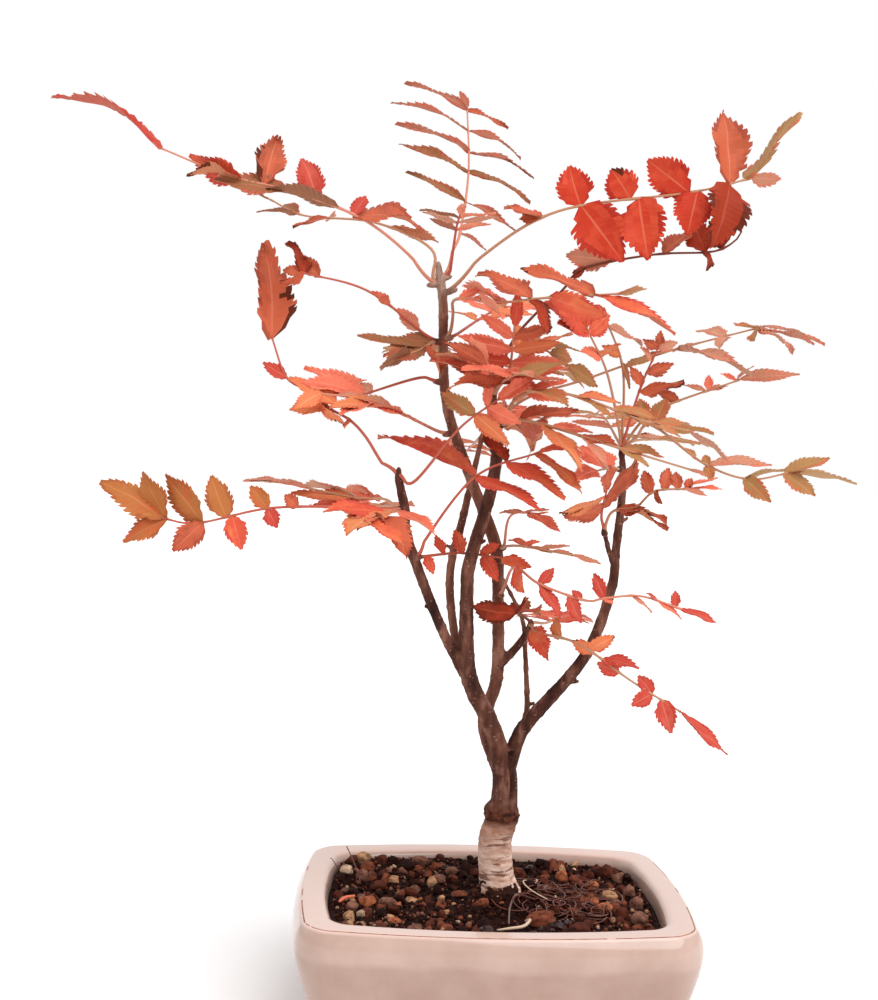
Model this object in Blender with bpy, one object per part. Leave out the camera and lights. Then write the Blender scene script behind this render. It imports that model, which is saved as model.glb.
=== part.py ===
"""A young rowan in autumn leaf, grown as a bonsai in a glazed pot.

The tables are in millimetres and meshes are made in metres. +X is to the right, +Y away, +Z up, and the
origin is the centre of the pot's flat underside.
"""

import math

import bmesh
import bpy
import numpy as np
from mathutils.bvhtree import BVHTree

MM = 0.001
CLEAR = 0.3  # gap between solids that touch on the real plant

# The pot's rim is a rounded rectangle with bowed sides. The other rings are offset from it.
RIM_HALF_X = 100
RIM_HALF_Y = 75.7
RIM_CORNER = 13.4
LEAST_CORNER = 10
BOW_FRONT = 9.3
BOW_SIDE = 5.6
RIM_HEIGHT = 65
CAVITY_FLOOR = 12
SOIL_EDGE = 57.6
SOIL_TOP = 61.2

# (height, offset from the rim's outline), from the foot up, over the rim and down inside
POT_WALL = (
    (0, -16.4), (4, -16), (4.6, -12.8), (14, -7.6), (27, -2.4), (41, 1.8), (51, 3.5), (58, 3), (62.4, 1.3),
    (64.5, -0.3), (RIM_HEIGHT, -1.8), (RIM_HEIGHT, -12.5), (63.6, -14.5), (20, -18), (CAVITY_FLOOR, -22))
SOIL_WALL = ((CAVITY_FLOOR + 0.35, -22.6), (20.1, -18.45), (SOIL_EDGE, -15.45))
SOIL_RINGS = (0.85, 0.66, 0.46, 0.28, 0.13)  # rings of the soil's top, as shares of its edge

TRUNK_FOOT = 61.5  # height of the trunk's flat cut
FLARE = 0.14  # how far the foot's lobes stand out, as a share of its radius

# Each limb: the limbs it grows out of, then (x, y, z, radius) along it
LIMBS = {
    "trunk": ((), (
        (5, 0, 62, 10.2), (2.5, 0, 72.1, 9.6), (1.3, 0, 91.3, 9.4), (4.3, 0, 101.5, 8.9),
        (4.6, 0, 107.6, 9.3), (5.6, 0, 113.8, 7.6), (5.7, 0, 125.1, 7), (4.3, 0, 135.1, 6.6))),
    "front_stem": (("trunk",), (
        (3.7, -2, 130, 5.4), (1.5, -4, 143.2, 5.2), (-6, -7, 162, 4.9), (-13.8, -9, 176, 4.7),
        (-18.3, -11, 192.1, 4.4), (-19.7, -13, 230.7, 3.7), (-18.6, -13, 247.1, 3.7),
        (-10, -15, 280.1, 3.4), (-7.3, -17, 294.9, 3.3), (-5.9, -18, 313.8, 2.9), (-8.9, -20, 334.1, 2))),
    "left_stem": (("front_stem",), (
        (-19.7, -11, 185.5, 3), (-35.2, -17, 215.5, 2.8), (-52.8, -22, 258.7, 2.8),
        (-55, -23, 274.8, 2.7), (-58.7, -24, 290.7, 2.2))),
    "back_stem": (("front_stem", "left_stem"), (
        (-20.9, -8, 192.7, 2.3), (-24.8, -1, 204.9, 2.3), (-28, 4, 227.7, 2.4), (-27.4, 8, 246.6, 2.3),
        (-22.5, 12, 266.2, 2.3), (-12.9, 13, 313.2, 1.4))),
    "leader": (("trunk", "front_stem"), (
        (1.9, 3, 129.9, 3.8), (-6.4, 8, 155.7, 3.6), (0.1, 8, 182.4, 3.6), (-1, 8, 230.2, 3.3),
        (-2.2, 7, 249.4, 3.6), (-6.7, 6, 265, 3.4), (-19, 4, 293.6, 3), (-33.6, 4, 335.3, 2.8),
        (-36.9, 4, 387.6, 2.6), (-39, 4, 401.2, 2.6), (-40.4, 4, 411.1, 1.3))),
    "side_branch": (("leader",), (
        (1, 8, 187.5, 2.6), (12.6, 7.5, 201.1, 2.2), (17.4, 8, 209.7, 1.8))),
    "right_stem": (("trunk", "front_stem", "leader"), (
        (7.7, 0, 133, 4.4), (11.5, -2, 148, 4.2), (18.2, -3, 159.6, 3.9), (47.3, -5, 196.2, 3.2),
        (61, -2, 232.9, 2.8), (63.3, 0, 255.1, 2.5), (66.3, 2, 291.3, 2.1), (65.3, 3, 307.4, 1.7))),
    "thin_stem": (("right_stem", "leader"), (
        (11.9, 6, 141.9, 2.2), (14.8, 10, 152.4, 2), (18, 12, 163.5, 1.7), (15.9, 13, 196.2, 1.4),
        (13.5, 12, 213.9, 1.3), (1.4, 12, 237.3, 1))),
    "right_shoot": (("right_stem",), (
        (61.2, -1, 248.4, 1.5), (58.2, -4, 256.3, 1.4), (55.9, -6, 263.6, 1.3))),
}

# Each leaf mass: the limb that its spur stands on, and where the spur ends
TUFTS = {
    "upper_left": ("leader", (-45, 2, 398)), "top": ("leader", (-34, 2, 403)),
    "upper_right": ("leader", (-31, -6, 395)), "mid_left": ("leader", (-42, -2, 367)),
    "mid_right": ("leader", (-32, -4, 369)), "inner_left": ("leader", (-40, 0, 345)),
    "lower_inner": ("leader", (-34, -2, 316)), "left_tip": ("left_stem", (-59, -24, 296)),
    "left_low": ("left_stem", (-59, -28, 275)), "left_mid": ("left_stem", (-46, -25, 250)),
    "front_tip": ("front_stem", (-9, -20, 340)), "front_side": ("front_stem", (-3, -22, 322)),
    "back_tip": ("back_stem", (-12, 13, 317)), "right_tip": ("right_stem", (65, 3, 312)),
    "right_side": ("right_stem", (62, -4, 300)), "right_shoot": ("right_shoot", (55, -8, 267)),
    "centre_low": ("leader", (1, 2, 254)), "lower_front": ("leader", (1, 2, 228)),
    "lower": ("side_branch", (18, 8, 213)),
}

SPUR = (1.5, 1.15)  # radii of a mass's stem
STALK = (0.9, 0.5)  # radii of a leaf's stalk
RUN = 8  # a stalk has 41 stations, and bends at every one of this many
BLADE = ((0.3, 0.95), (0.72, 0.86))  # where along a leaflet it has which share of its width
RIB = 0.026  # thickness of a leaflet at its rib, as a share of its length
MARGIN = 0.4  # what a leaflet grows by while its place is tested

# (size, degrees of lift) that a leaflet tries in turn until it clears what is already there
TRIES = ((1, 0), (1, 12), (1, -12), (1, 24), (1, -24), (0.85, 0), (0.85, 16), (0.85, -16),
         (0.7, 0), (0.7, 20), (0.7, -20))

LEAVES = []


def even(first, angles, sizes):
    """A row of leaflets evenly spaced from first to the tip: (place, angle, size) of each."""
    count = len(sizes)
    return tuple(
        (round(first + (1 - first) * i / count, 2),
         round(angles[0] + (angles[1] - angles[0]) * i / max(1, count - 1)), size)
        for i, size in enumerate(sizes) if size)


def leaf(name, mass, size, face, route, upper, lower, end, lift, arch, wide, turn=(0, 0, 0)):
    """One compound leaf: leaflet size, the way it faces, its stalk's route, and two rows of leaflets."""
    LEAVES.append(dict(name=name, mass=mass, size=size, face=face, route=(TUFTS[mass][1], *route),
                       upper=upper, lower=lower, end=end, lift=lift, arch=arch, wide=wide, turn=turn))


leaf("upper_left", "upper_left", 27, (0, -0.75, 0.66),
     ((-55, -2, 412), (-81, -10, 430), (-116, -16, 442), (-153, -20, 449), (-190, -22, 462)),
     ((0.35, 148, 1.7, 20), (0.35, 99, 0.6, 35, 0.05), (0.47, 60, 1.15, 25), (0.65, 93, 1.5, 0),
      (0.72, 8, 1.15, 80)),
     ((0.4, 4, 1.5, 65, 0.1), (0.57, 5, 1.45, 0, 0.1), (0.72, 3, 1.05, 65, 0.1),
      (0.82, 120, 0.25, 20)),
     end=(-47, 3.4, 40, 0.36), lift=10, arch=0.15, wide=0.5)
leaf("upper_left_low", "upper_left", 25, (0, -0.3, 0.95),
     ((-44, 6, 418), (-76, 20, 434), (-116, 30, 438), (-136, 34, 447)),
     even(0.4, (150, 40), (1.1, 0, 0.9, 1)),
     even(0.4, (40, 40), (0, 0, 0.9, 1)),
     end=1, lift=4, arch=0.15, wide=0.34, turn=(50, 0, 30))
leaf("top_back", "top", 43, (0.47, -0.58, 0.66),
     ((-33, 6, 416), (-28, 16, 430), (-22, 60, 473), (-22, 98, 520)),
     ((0.4, 102, 0.9, -20), (0.6, 100, 1.05, -5), (0.72, 96, 1.15, 10), (0.85, 92, 1.2, 20),
      (0.97, 93, 1, 5)),
     ((0.2, 96, 0.4, 0), (0.4, 91, 0.8, -5), (0.6, 86, 1, 0), (0.72, 77, 1.1, 15),
      (0.85, 83, 0.9, 15, 0.35), (0.97, 84, 0.7, 0)),
     end=(31, 0.3, -20, 0.1), lift=16, arch=0.3, wide=0.27)
leaf("top_front", "top", 21, (0, -0.5, 0.85),
     ((-32, -16, 426), (-31, -34, 431)),
     even(0.6, (70, 60), (0.9, 1.1, 1)),
     even(0.6, (60, 60), (0.9, 1.1, 1.2)),
     end=1, lift=8, arch=0.15, wide=0.42)
leaf("upper_right", "upper_right", 31, (0, -0.95, 0.3),
     ((-16, -11, 414), (23, -24, 437), (90, -36, 447), (123, -36, 456)),
     ((0.35, 132, 0.7, 55), (0.35, 151, 0.4, 35), (0.47, 97, 0.75, 0), (0.62, 118, 0.6, -15, 0.1),
      (0.8, 131, 0.9, -20), (0.93, 70, 1.4, 20), (0.97, 32, 1.55, -65, -0.1)),
     ((0.47, 66, 1.05, -10), (0.65, 87, 1.05, -5), (0.82, 113, 0.7, 0), (0.93, 117, 1.05, 25)),
     end=(-22, 0.5, 75), lift=8, arch=0.15, wide=0.58)
leaf("right_over", "front_tip", 25, (0, -0.85, 0.5),
     ((0, -10, 366), (13, -4, 383), (28, -4, 397), (39, -8, 409), (76, -14, 417),
      (108, -12, 420), (120, -12, 426), (124, -12, 433), (119, -12, 439)),
     ((0.55, 158, 1.05, -30), (0.7, 44, 1, -25), (0.82, 97, 0.8, -25), (0.88, 57, 0.95, -20)),
     ((0.47, 158, 0.4, -20), (0.82, 89, 0.45, 45)),
     end=0, lift=6, arch=0.15, wide=0.56)
leaf("mid_right", "mid_right", 30, (0, -0.75, 0.66),
     ((-32, -12, 381), (-31, -24, 388), (-10, -52, 384), (12, -62, 386), (49, -66, 389)),
     ((0.25, 50, 0.4, 40, 0.1), (0.28, 166, 1.95, 40, 0.12), (0.42, 174, 0.75, 15, 0.1),
      (0.5, 139, 2.25, 50, 0.12), (0.65, 134, 1.4, 20, 0.12), (0.9, 143, 1.45, 15, 0.12)),
     ((0.4, 17, 1.2, 75, 0.1), (0.65, 64, 0.9, 35, 0.1), (0.72, 35, 1.1, -40, 0.1),
      (0.9, 31, 1.55, 30)),
     end=(12, 0.5, -65, 0.04), lift=8, arch=0.15, wide=0.42)
leaf("centre_up", "front_tip", 24, (0.1, -0.9, 0.5),
     ((-2, -26, 350), (-1, -40, 374)),
     even(0.3, (95, 70), (1.2, 1.25, 1.1, 0.9)),
     even(0.3, (100, 50), (1.4, 1.5, 1.3, 0.9)),
     end=0.8, lift=8, arch=0.2, wide=0.33, turn=(30, 25, 0))
leaf("scarlet_high", "right_tip", 31, (0, -0.9, 0.45),
     ((62, 2, 327), (53, -8, 354), (38, -30, 375)),
     ((0.75, 132, 0.75, -45, 0.1), (0.95, 113, 0.75, 10, 0.1)),
     ((0.7, 31, 0.6, 50, 0.1), (0.95, 30, 1, 50, 0.1), (0.97, 22, 1.35, 25, 0.1)),
     end=(-5, 0.65, -45, 0.1), lift=4, arch=0.15, wide=0.46)
leaf("long_coral", "right_tip", 40, (0, -0.6, 0.8),
     ((66, 14, 356), (53, 4, 385)),
     ((0.62, 171, 0.4, 35, 0.05), (0.9, 129, 1.1, 40, 0.1)),
     ((0.68, 50, 0.35, -20),),
     end=(42, 0.35, -25, 0.1), lift=8, arch=0.2, wide=0.3)
leaf("small_red", "right_tip", 15, (0.2, -0.95, 0.2),
     ((73, -4, 345), (81, -12, 368)),
     ((0.6, 48, 0.85, 30), (0.85, 56, 0.7, 60), (0.97, 80, 0.65, 0)),
     ((0.55, 62, 1.7, -35, 0.02), (0.72, 51, 1.05, 0), (0.97, 54, 0.75, 0)),
     end=(19, 0.6, -10, 0.1), lift=8, arch=0.15, wide=0.5)
leaf("mid_thin", "back_tip", 26, (0, -0.35, 0.93),
     ((-2, 16, 328), (18, 28, 341), (45, 34, 350), (90, 30, 367), (145, 12, 383)),
     ((0.68, 172, 0.45, -20), (0.78, 172, 0.5, 0), (0.88, 114, 1.55, 10, 0.1),
      (0.97, 120, 0.9, 15, 0.05)),
     ((0.65, 172, 0.8, 10, 0.05), (0.72, 59, 3.1, 30, 0.12), (0.88, 99, 0.8, 0, 0.1),
      (0.97, 69, 2.4, 40, 0.12), (0.97, 59, 2.35, 30, 0.12), (0.97, 98, 0.85, -30, 0.1)),
     end=(-46, 1.8, -25), lift=4, arch=0.15, wide=0.4)
leaf("right_pink", "right_tip", 17, (0, -0.75, 0.6),
     ((84, 8, 333), (130, 4, 352)),
     ((0.55, 128, 0.85, -25), (0.75, 132, 0.8, 30), (0.75, 3, 0.75, -25), (0.78, 72, 0.6, 0),
      (0.97, 120, 0.6, 35), (0.97, 31, 0.8, -55)),
     (),
     end=(-14, 2, -10, 0.08), lift=10, arch=0.15, wide=0.42)
leaf("olive_far", "right_tip", 24, (0, -0.75, 0.66),
     ((72, 0, 317), (80, -4, 325), (106, -18, 305), (129, -26, 297), (150, -30, 301)),
     ((0.17, 82, 0.8, 20), (0.23, 105, 1, -15), (0.25, 39, 1.3, -25, 0.1), (0.5, 163, 0.35, 20),
      (0.57, 130, 0.3, -20), (0.57, 40, 1.5, -30, 0.06), (0.78, 32, 0.95, -65, 0.08),
      (0.97, 14, 1.1, -15, 0.08)),
     ((0.57, 51, 0.45, -25), (0.78, 45, 0.85, -35), (0.97, 56, 0.9, 0)),
     end=(-14, 1.5, -65, 0.14), lift=8, arch=0.15, wide=0.46)
leaf("band_high", "front_side", 37, (0, -0.42, 0.9),
     ((1, -34, 335), (15, -46, 340), (38, -56, 335), (63, -60, 326), (89, -60, 321)),
     ((0.12, 55, 0.4, -10, 0.1), (0.25, 27, 0.55, 20, 0.1), (0.47, 29, 0.65, 0, 0.12),
      (0.65, 37, 0.75, 0, 0.12), (0.65, 10, 0.55, 0), (0.82, 32, 0.75, -5, 0.12)),
     ((0.25, 37, 1.25, 15), (0.47, 16, 0.65, 5), (0.82, 19, 0.45, 0, 0.12)),
     end=(-44, 0.8, -40, 0.06), lift=4, arch=0.15, wide=0.34)
leaf("band_low", "front_side", 34, (0, -0.45, 0.9),
     ((9, -38, 324), (54, -58, 311), (91, -60, 301)),
     ((0.07, 137, 3.4, 35, 0.12), (0.12, 50, 0.95, 20), (0.3, 29, 0.65, 5, 0.12),
      (0.45, 17, 0.65, 0, 0.12), (0.65, 24, 0.7, 0, 0.12)),
     ((0.25, 34, 1.35, 20), (0.45, 39, 0.95, 25, 0.12), (0.65, 24, 0.55, 5, 0.12)),
     end=(0, 0.25, 0, 0.06), lift=4, arch=0.15, wide=0.36)
leaf("tan_saw", "front_tip", 27, (0, -0.55, 0.85),
     ((10, -4, 365), (20, 4, 365), (35, 10, 357)),
     even(0.42, (30, 30), (1, 1, 0.9)),
     even(0.42, (25, 25), (1.2, 1.1, 1)),
     end=0.9, lift=8, arch=0.15, wide=0.36, turn=(35, 20, 40))
leaf("tip_left_gold", "left_tip", 21, (0, -0.9, 0.45),
     ((-51, -31, 290), (-28, -38, 319), (-8, -44, 335)),
     even(0.8, (110, 60), (1.15, 1)),
     even(0.8, (75, 60), (1.2, 1)),
     end=1, lift=8, arch=0.15, wide=0.42)
leaf("left_cross", "left_mid", 31, (0, -0.85, 0.55),
     ((-44, -28, 259), (-19, -40, 294), (14, -46, 308)),
     ((0.6, 108, 2.45, 65, 0.22), (0.8, 107, 0.75, 40)),
     ((0.6, 56, 1.35, 60, 0.12), (0.8, 47, 1.25, 40, 0.12), (0.97, 55, 1.1, 50, 0.12)),
     end=(-4, 0.55, -35), lift=4, arch=0.15, wide=0.42)
leaf("left_short", "left_mid", 15, (0, -0.9, 0.4),
     ((-29, -6, 251), (-18, -4, 251), (-1, -16, 250)),
     ((0.35, 83, 0.85, -15), (0.57, 112, 1, 0), (0.75, 41, 0.8, 20)),
     ((0.07, 101, 0.75, -45), (0.78, 42, 1.3, 10)),
     end=(-8, 1.3, -10, 0.06), lift=4, arch=0.15, wide=0.5)
leaf("low_left", "left_low", 28, (0, -1, 0.12),
     ((-89, -38, 276), (-127, -36, 274), (-164, -32, 265), (-183, -30, 267)),
     ((0.42, 42, 0.35, 0), (0.55, 58, 0.55, 0), (0.72, 84, 0.85, -10), (0.82, 55, 1.2, 25),
      (0.97, 43, 1.05, 35)),
     ((0.55, 110, 0.4, 0), (0.7, 93, 0.65, -10), (0.82, 34, 0.8, -10), (0.97, 35, 0.95, 30)),
     end=(-22, 1.45, 40, 0.08), lift=4, arch=0.15, wide=0.5)
leaf("left_front", "left_low", 28, (0, -0.75, 0.65),
     ((-63, -46, 275), (-75, -90, 272)),
     ((0.25, 5, 1.8, -15), (0.3, 17, 1.55, -5), (0.45, 36, 1.35, 15, 0.1),
      (0.82, 3, 1.35, -20, 0.1)),
     ((0, 51, 1.15, 10, 0.2), (0.68, 43, 1.45, -5, 0.2)),
     end=(60, 1, 10), lift=2, arch=0.15, wide=0.46)
leaf("left_flat", "left_low", 27, (0, -0.35, 0.95),
     ((-66, -16, 280), (-82, -6, 280), (-119, 12, 286)),
     ((0.28, 44, 2.05, -45), (0.28, 6, 1.9, 20, 0.1), (0.45, 26, 1.7, -45), (0.82, 7, 1.75, -10)),
     ((0.45, 4, 1.5, -15, 0.1),),
     end=(0, 1.1, 10, 0.1), lift=2, arch=0.15, wide=0.36)
leaf("left_erect", "left_tip", 24, (0.1, -0.9, 0.45),
     ((-66, -24, 297), (-77, -22, 313), (-86, -20, 322), (-97, -16, 328), (-108, -12, 337),
      (-121, -8, 344), (-130, -4, 366)),
     ((0.57, 103, 1.25, 30),),
     ((0.38, 99, 0.25, 45), (0.5, 26, 0.55, -30), (0.53, 54, 0.8, 0), (0.62, 162, 1.15, 90),
      (0.78, 19, 0.65, 0)),
     end=(-17, 2.45, 15, 0.12), lift=4, arch=0.15, wide=0.44)
leaf("inner_left", "inner_left", 27, (0, -0.6, 0.8),
     ((-51, -6, 346), (-94, -24, 330)),
     ((0.65, 88, 0.45, 0), (0.7, 64, 1.5, -5, 0.2), (0.7, 41, 1.4, 0, 0.2), (0.82, 13, 0.8, -10)),
     (),
     end=(-67, 1.2, 0, 0.2), lift=4, arch=0.15, wide=0.42)
leaf("inner_low", "lower_inner", 30, (0, -0.62, 0.78),
     ((-73, -24, 332), (-101, -34, 335)),
     ((0.47, 4, 1, -5, 0.2),),
     ((0.28, 3, 1.15, 15), (0.38, 8, 0.8, 55), (0.57, 25, 1.15, 10), (0.62, 39, 1.05, 35)),
     end=(44, 0.75, -20, 0.2), lift=4, arch=0.15, wide=0.36)
leaf("mid_left_far", "mid_left", 19, (0, -0.9, 0.4),
     ((-78, -10, 392), (-115, -10, 401)),
     ((0.12, 5, 0.85, 25), (0.38, 7, 0.65, -25), (0.88, 38, 0.85, 20), (0.97, 57, 1.2, -30)),
     ((0.97, 51, 0.75, -80),),
     end=(7, 0.55, 0, 0.1), lift=4, arch=0.15, wide=0.5)
leaf("mid_left_brown", "mid_left", 25, (0, -0.85, 0.55),
     ((-49, -18, 361), (-55, -26, 358)),
     ((0, 47, 1, 30, 0.08), (0.4, 57, 1.55, -5, 0.05), (0.55, 13, 1.3, 0, 0.08)),
     ((0.42, 48, 0.95, -20),),
     end=(-1, 1.2, 80, 0.08), lift=0, arch=0.15, wide=0.46)
leaf("centre_left", "front_tip", 32, (-0.1, -0.8, 0.6),
     ((-14, -48, 350), (-17, -58, 355)),
     even(0.3, (78, 60), (1.1, 1, 0.9)),
     even(0.3, (90, 100), (1, 1.1, 1.1)),
     end=0.8, lift=8, arch=0.15, wide=0.33, turn=(50, 20, 0))
leaf("centre_band", "front_tip", 33, (0.1, -0.75, 0.6),
     ((-5, -40, 345), (-1, -66, 347)),
     even(0.3, (80, 80), (1, 1, 0.9)),
     even(0.3, (75, 60), (1.2, 1.1, 1)),
     end=0.9, lift=8, arch=0.15, wide=0.33, turn=(40, 35, 0))
leaf("hanging_pink", "centre_low", 18, (0, -0.5, 0.85),
     ((3, -12, 273), (18, -22, 275)),
     ((0.75, 172, 0.85, 0), (0.78, 29, 0.75, -10)),
     ((0.82, 32, 1.65, 10, 0.08),),
     end=(21, 0.3, 0, 0.1), lift=8, arch=0.15, wide=0.34)
leaf("hanging_tan", "centre_low", 19, (0, -0.35, 0.93),
     ((1, -10, 256), (10, -22, 257), (34, -38, 254)),
     ((0.47, 72, 0.6, 20), (0.53, 143, 1.6, 5), (0.53, 4, 0.75, 0), (0.65, 45, 0.9, 0),
      (0.78, 15, 0.7, 0)),
     (),
     end=(-6, 0.95, 0, 0.06), lift=8, arch=0.15, wide=0.34)
leaf("low_right_a", "lower_front", 14.5, (0, -0.95, 0.3),
     ((4, -28, 246), (16, -44, 239), (39, -54, 232), (48, -60, 234), (66, -64, 236), (87, -66, 230)),
     ((0.42, 79, 0.8, 25), (0.6, 146, 0.5, 25), (0.7, 106, 1, 0), (0.9, 155, 0.45, 50),
      (0.97, 110, 0.6, -15)),
     ((0.28, 34, 1.8, -15), (0.42, 23, 1.55, 45), (0.55, 46, 1.1, 0), (0.7, 35, 0.4, 50),
      (0.8, 32, 0.95, 65), (0.9, 12, 1.1, 55)),
     end=(3, 1.35, -50, 0.08), lift=4, arch=0.15, wide=0.5)
leaf("dark_front", "lower", 22, (0, -0.9, 0.4),
     ((6, -16, 222), (5, -24, 221)),
     ((0.5, 155, 1.9, 75),),
     ((0.97, 156, 0.9, -35),),
     end=(-91, 1.05, -90, 0.1), lift=0, arch=0.15, wide=0.62)
leaf("low_right_b", "lower", 16, (0, -0.9, 0.45),
     ((20, -6, 209), (39, -36, 207), (64, -52, 191), (90, -58, 176)),
     ((0.33, 149, 1.35, -30), (0.5, 68, 1, 25), (0.57, 31, 1.25, -20), (0.85, 154, 0.7, 0)),
     ((0.07, 3, 2.05, -30), (0.53, 173, 0.9, 25), (0.68, 166, 0.75, 20), (0.85, 118, 0.75, 5),
      (0.9, 46, 1.05, -15)),
     end=(-12, 2.05, -50, -0.03), lift=4, arch=0.15, wide=0.5)
leaf("shoot_fan", "right_shoot", 28, (0, -0.9, 0.4),
     ((52, -16, 275), (50, -44, 290)),
     even(0.5, (75, 70), (1.2, 1)),
     even(0.5, (60, 70), (1.1, 1.1)),
     end=1, lift=0, arch=0.15, wide=0.46)
leaf("shoot_right", "right_shoot", 18, (0, -0.85, 0.5),
     ((58, -16, 277), (69, -24, 280), (78, -30, 289), (95, -36, 291)),
     ((0.65, 75, 0.75, 20), (0.78, 77, 0.75, 15), (0.9, 99, 0.6, 0), (0.95, 24, 1.05, -50, 0.1),
      (0.97, 68, 0.4, 0)),
     ((0.28, 15, 1.8, 45, 0.1), (0.35, 21, 1.7, 60, 0.1), (0.7, 82, 0.5, -40),
      (0.95, 15, 0.75, 80, 0.1)),
     end=(0, 1, -50, 0.05), lift=8, arch=0.15, wide=0.5)
leaf("right_near", "right_side", 32, (0, -0.85, 0.5),
     ((56, -18, 301), (44, -44, 299)),
     even(0.3, (130, 130), (1, 1)),
     even(0.3, (80, 100), (0.9, 1)),
     end=0.8, lift=0, arch=0.15, wide=0.44, turn=(20, 0, 0))
# leaves on the side away from the viewer, all alike
for name, mass, route in (
        ("back_a", "mid_right", ((-6, 56, 390), (14, 92, 399))),
        ("back_b", "mid_left", ((-46, 24, 366), (-51, 94, 368))),
        ("back_c", "front_tip", ((6, 14, 353), (23, 52, 358), (43, 92, 358))),
        ("back_d", "back_tip", ((11, 72, 332), (28, 110, 335))),
        ("back_e", "back_tip", ((-15, 70, 310), (-18, 104, 305))),
        ("back_f", "right_tip", ((65, 66, 330), (65, 104, 333))),
        ("back_g", "right_tip", ((80, 32, 317), (121, 104, 319))),
        ("back_h", "left_low", ((-64, 4, 276), (-83, 76, 271))),
        ("back_i", "lower", ((30, 30, 210), (47, 92, 209)))):
    leaf(name, mass, 25, (0, -0.2, 1), route, even(0.4, (60, 50), (1, 1.05, 1)),
         even(0.4, (60, 50), (1, 1.05, 1)), end=1, lift=8, arch=0.15, wide=0.42)

COLOURS = {  # linear base colours of the leaf masses
    "scarlet": (0.55, 0.07, 0.035), "coral": (0.62, 0.14, 0.08), "orange": (0.68, 0.2, 0.06),
    "olive": (0.36, 0.17, 0.055), "brown": (0.3, 0.06, 0.025)}
MASS_COLOUR = {
    "upper_left": "coral", "top": "coral", "upper_right": "scarlet", "mid_left": "brown",
    "mid_right": "scarlet", "inner_left": "olive", "lower_inner": "coral", "left_tip": "orange",
    "left_low": "orange", "left_mid": "scarlet", "front_tip": "scarlet", "front_side": "coral",
    "back_tip": "olive", "right_tip": "olive", "right_side": "brown", "right_shoot": "scarlet",
    "centre_low": "coral", "lower_front": "scarlet", "lower": "scarlet"}


def clear_scene():
    for obj in list(bpy.data.objects):
        bpy.data.objects.remove(obj, do_unlink=True)


def new_collection(name):
    made = bpy.data.collections.new(name)
    bpy.context.scene.collection.children.link(made)
    return made


def material(name, colour, roughness):
    made = bpy.data.materials.new(name)
    made.use_nodes = True
    shader = made.node_tree.nodes["Principled BSDF"]
    shader.inputs["Base Color"].default_value = (*colour, 1)
    shader.inputs["Roughness"].default_value = roughness
    return made


def unit(vectors):
    vectors = np.asarray(vectors, float)
    return vectors / np.maximum(np.linalg.norm(vectors, axis=-1, keepdims=True), 1e-9)


def smooth(points, count):
    """count evenly spaced points on a Catmull-Rom curve through the given ones, and its length."""
    p = np.asarray(points, float)
    p = np.vstack([2 * p[0] - p[1], p, 2 * p[-1] - p[-2]])
    t = np.linspace(0, 1, 17)[:, None]
    runs = [
        0.5 * (2 * b + (c - a) * t + (2 * a - 5 * b + 4 * c - d) * t**2 + (3 * b - a - 3 * c + d) * t**3)
        for a, b, c, d in zip(p, p[1:], p[2:], p[3:])]
    line = np.vstack([run[:-1] for run in runs[:-1]] + [runs[-1]])
    along = np.r_[0, np.cumsum(np.linalg.norm(np.diff(line[:, :3], axis=0), axis=1))]
    wanted = np.linspace(0, along[-1], count)
    return np.stack([np.interp(wanted, along, column) for column in line.T], 1), along[-1]


def shape(name, points, faces, collection):
    """A mesh object from points in millimetres."""
    mesh = bpy.data.meshes.new(name)
    mesh.from_pydata([tuple(p) for p in np.asarray(points) * MM], [], faces)
    obj = bpy.data.objects.new(name, mesh)
    collection.objects.link(obj)
    return obj


def tube(name, stations, corners, collection):
    """A round limb through (x, y, z, radius) stations: a bevelled curve with filled caps, as a mesh."""
    curve = bpy.data.curves.new(name, "CURVE")
    curve.dimensions = "3D"
    curve.bevel_depth = MM
    curve.bevel_resolution = (corners - 4) // 2
    curve.use_fill_caps = True
    spline = curve.splines.new("POLY")
    spline.points.add(len(stations) - 1)
    for point, (x, y, z, radius) in zip(spline.points, stations):
        point.co = (x * MM, y * MM, z * MM, 1)
        point.radius = radius
    holder = bpy.data.objects.new(name, curve)
    collection.objects.link(holder)
    bpy.context.view_layer.update()
    mesh = bpy.data.meshes.new_from_object(holder.evaluated_get(bpy.context.evaluated_depsgraph_get()))
    bpy.data.objects.remove(holder)
    bpy.data.curves.remove(curve)
    work = bmesh.new()
    work.from_mesh(mesh)
    bmesh.ops.remove_doubles(work, verts=work.verts, dist=1e-6)
    bmesh.ops.recalc_face_normals(work, faces=work.faces)
    work.to_mesh(mesh)
    work.free()
    mesh.name = name
    obj = bpy.data.objects.new(name, mesh)
    collection.objects.link(obj)
    return obj


def tree_of(obj):
    """The object's faces, ready to be tested against others."""
    points = [v.co for v in obj.data.vertices]
    return BVHTree.FromPolygons(points, [tuple(p.vertices) for p in obj.data.polygons])


def cut(obj, cutter):
    step = obj.modifiers.new("cut " + cutter.name, "BOOLEAN")
    step.operation = "DIFFERENCE"
    step.solver = "EXACT"
    step.object = cutter


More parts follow.
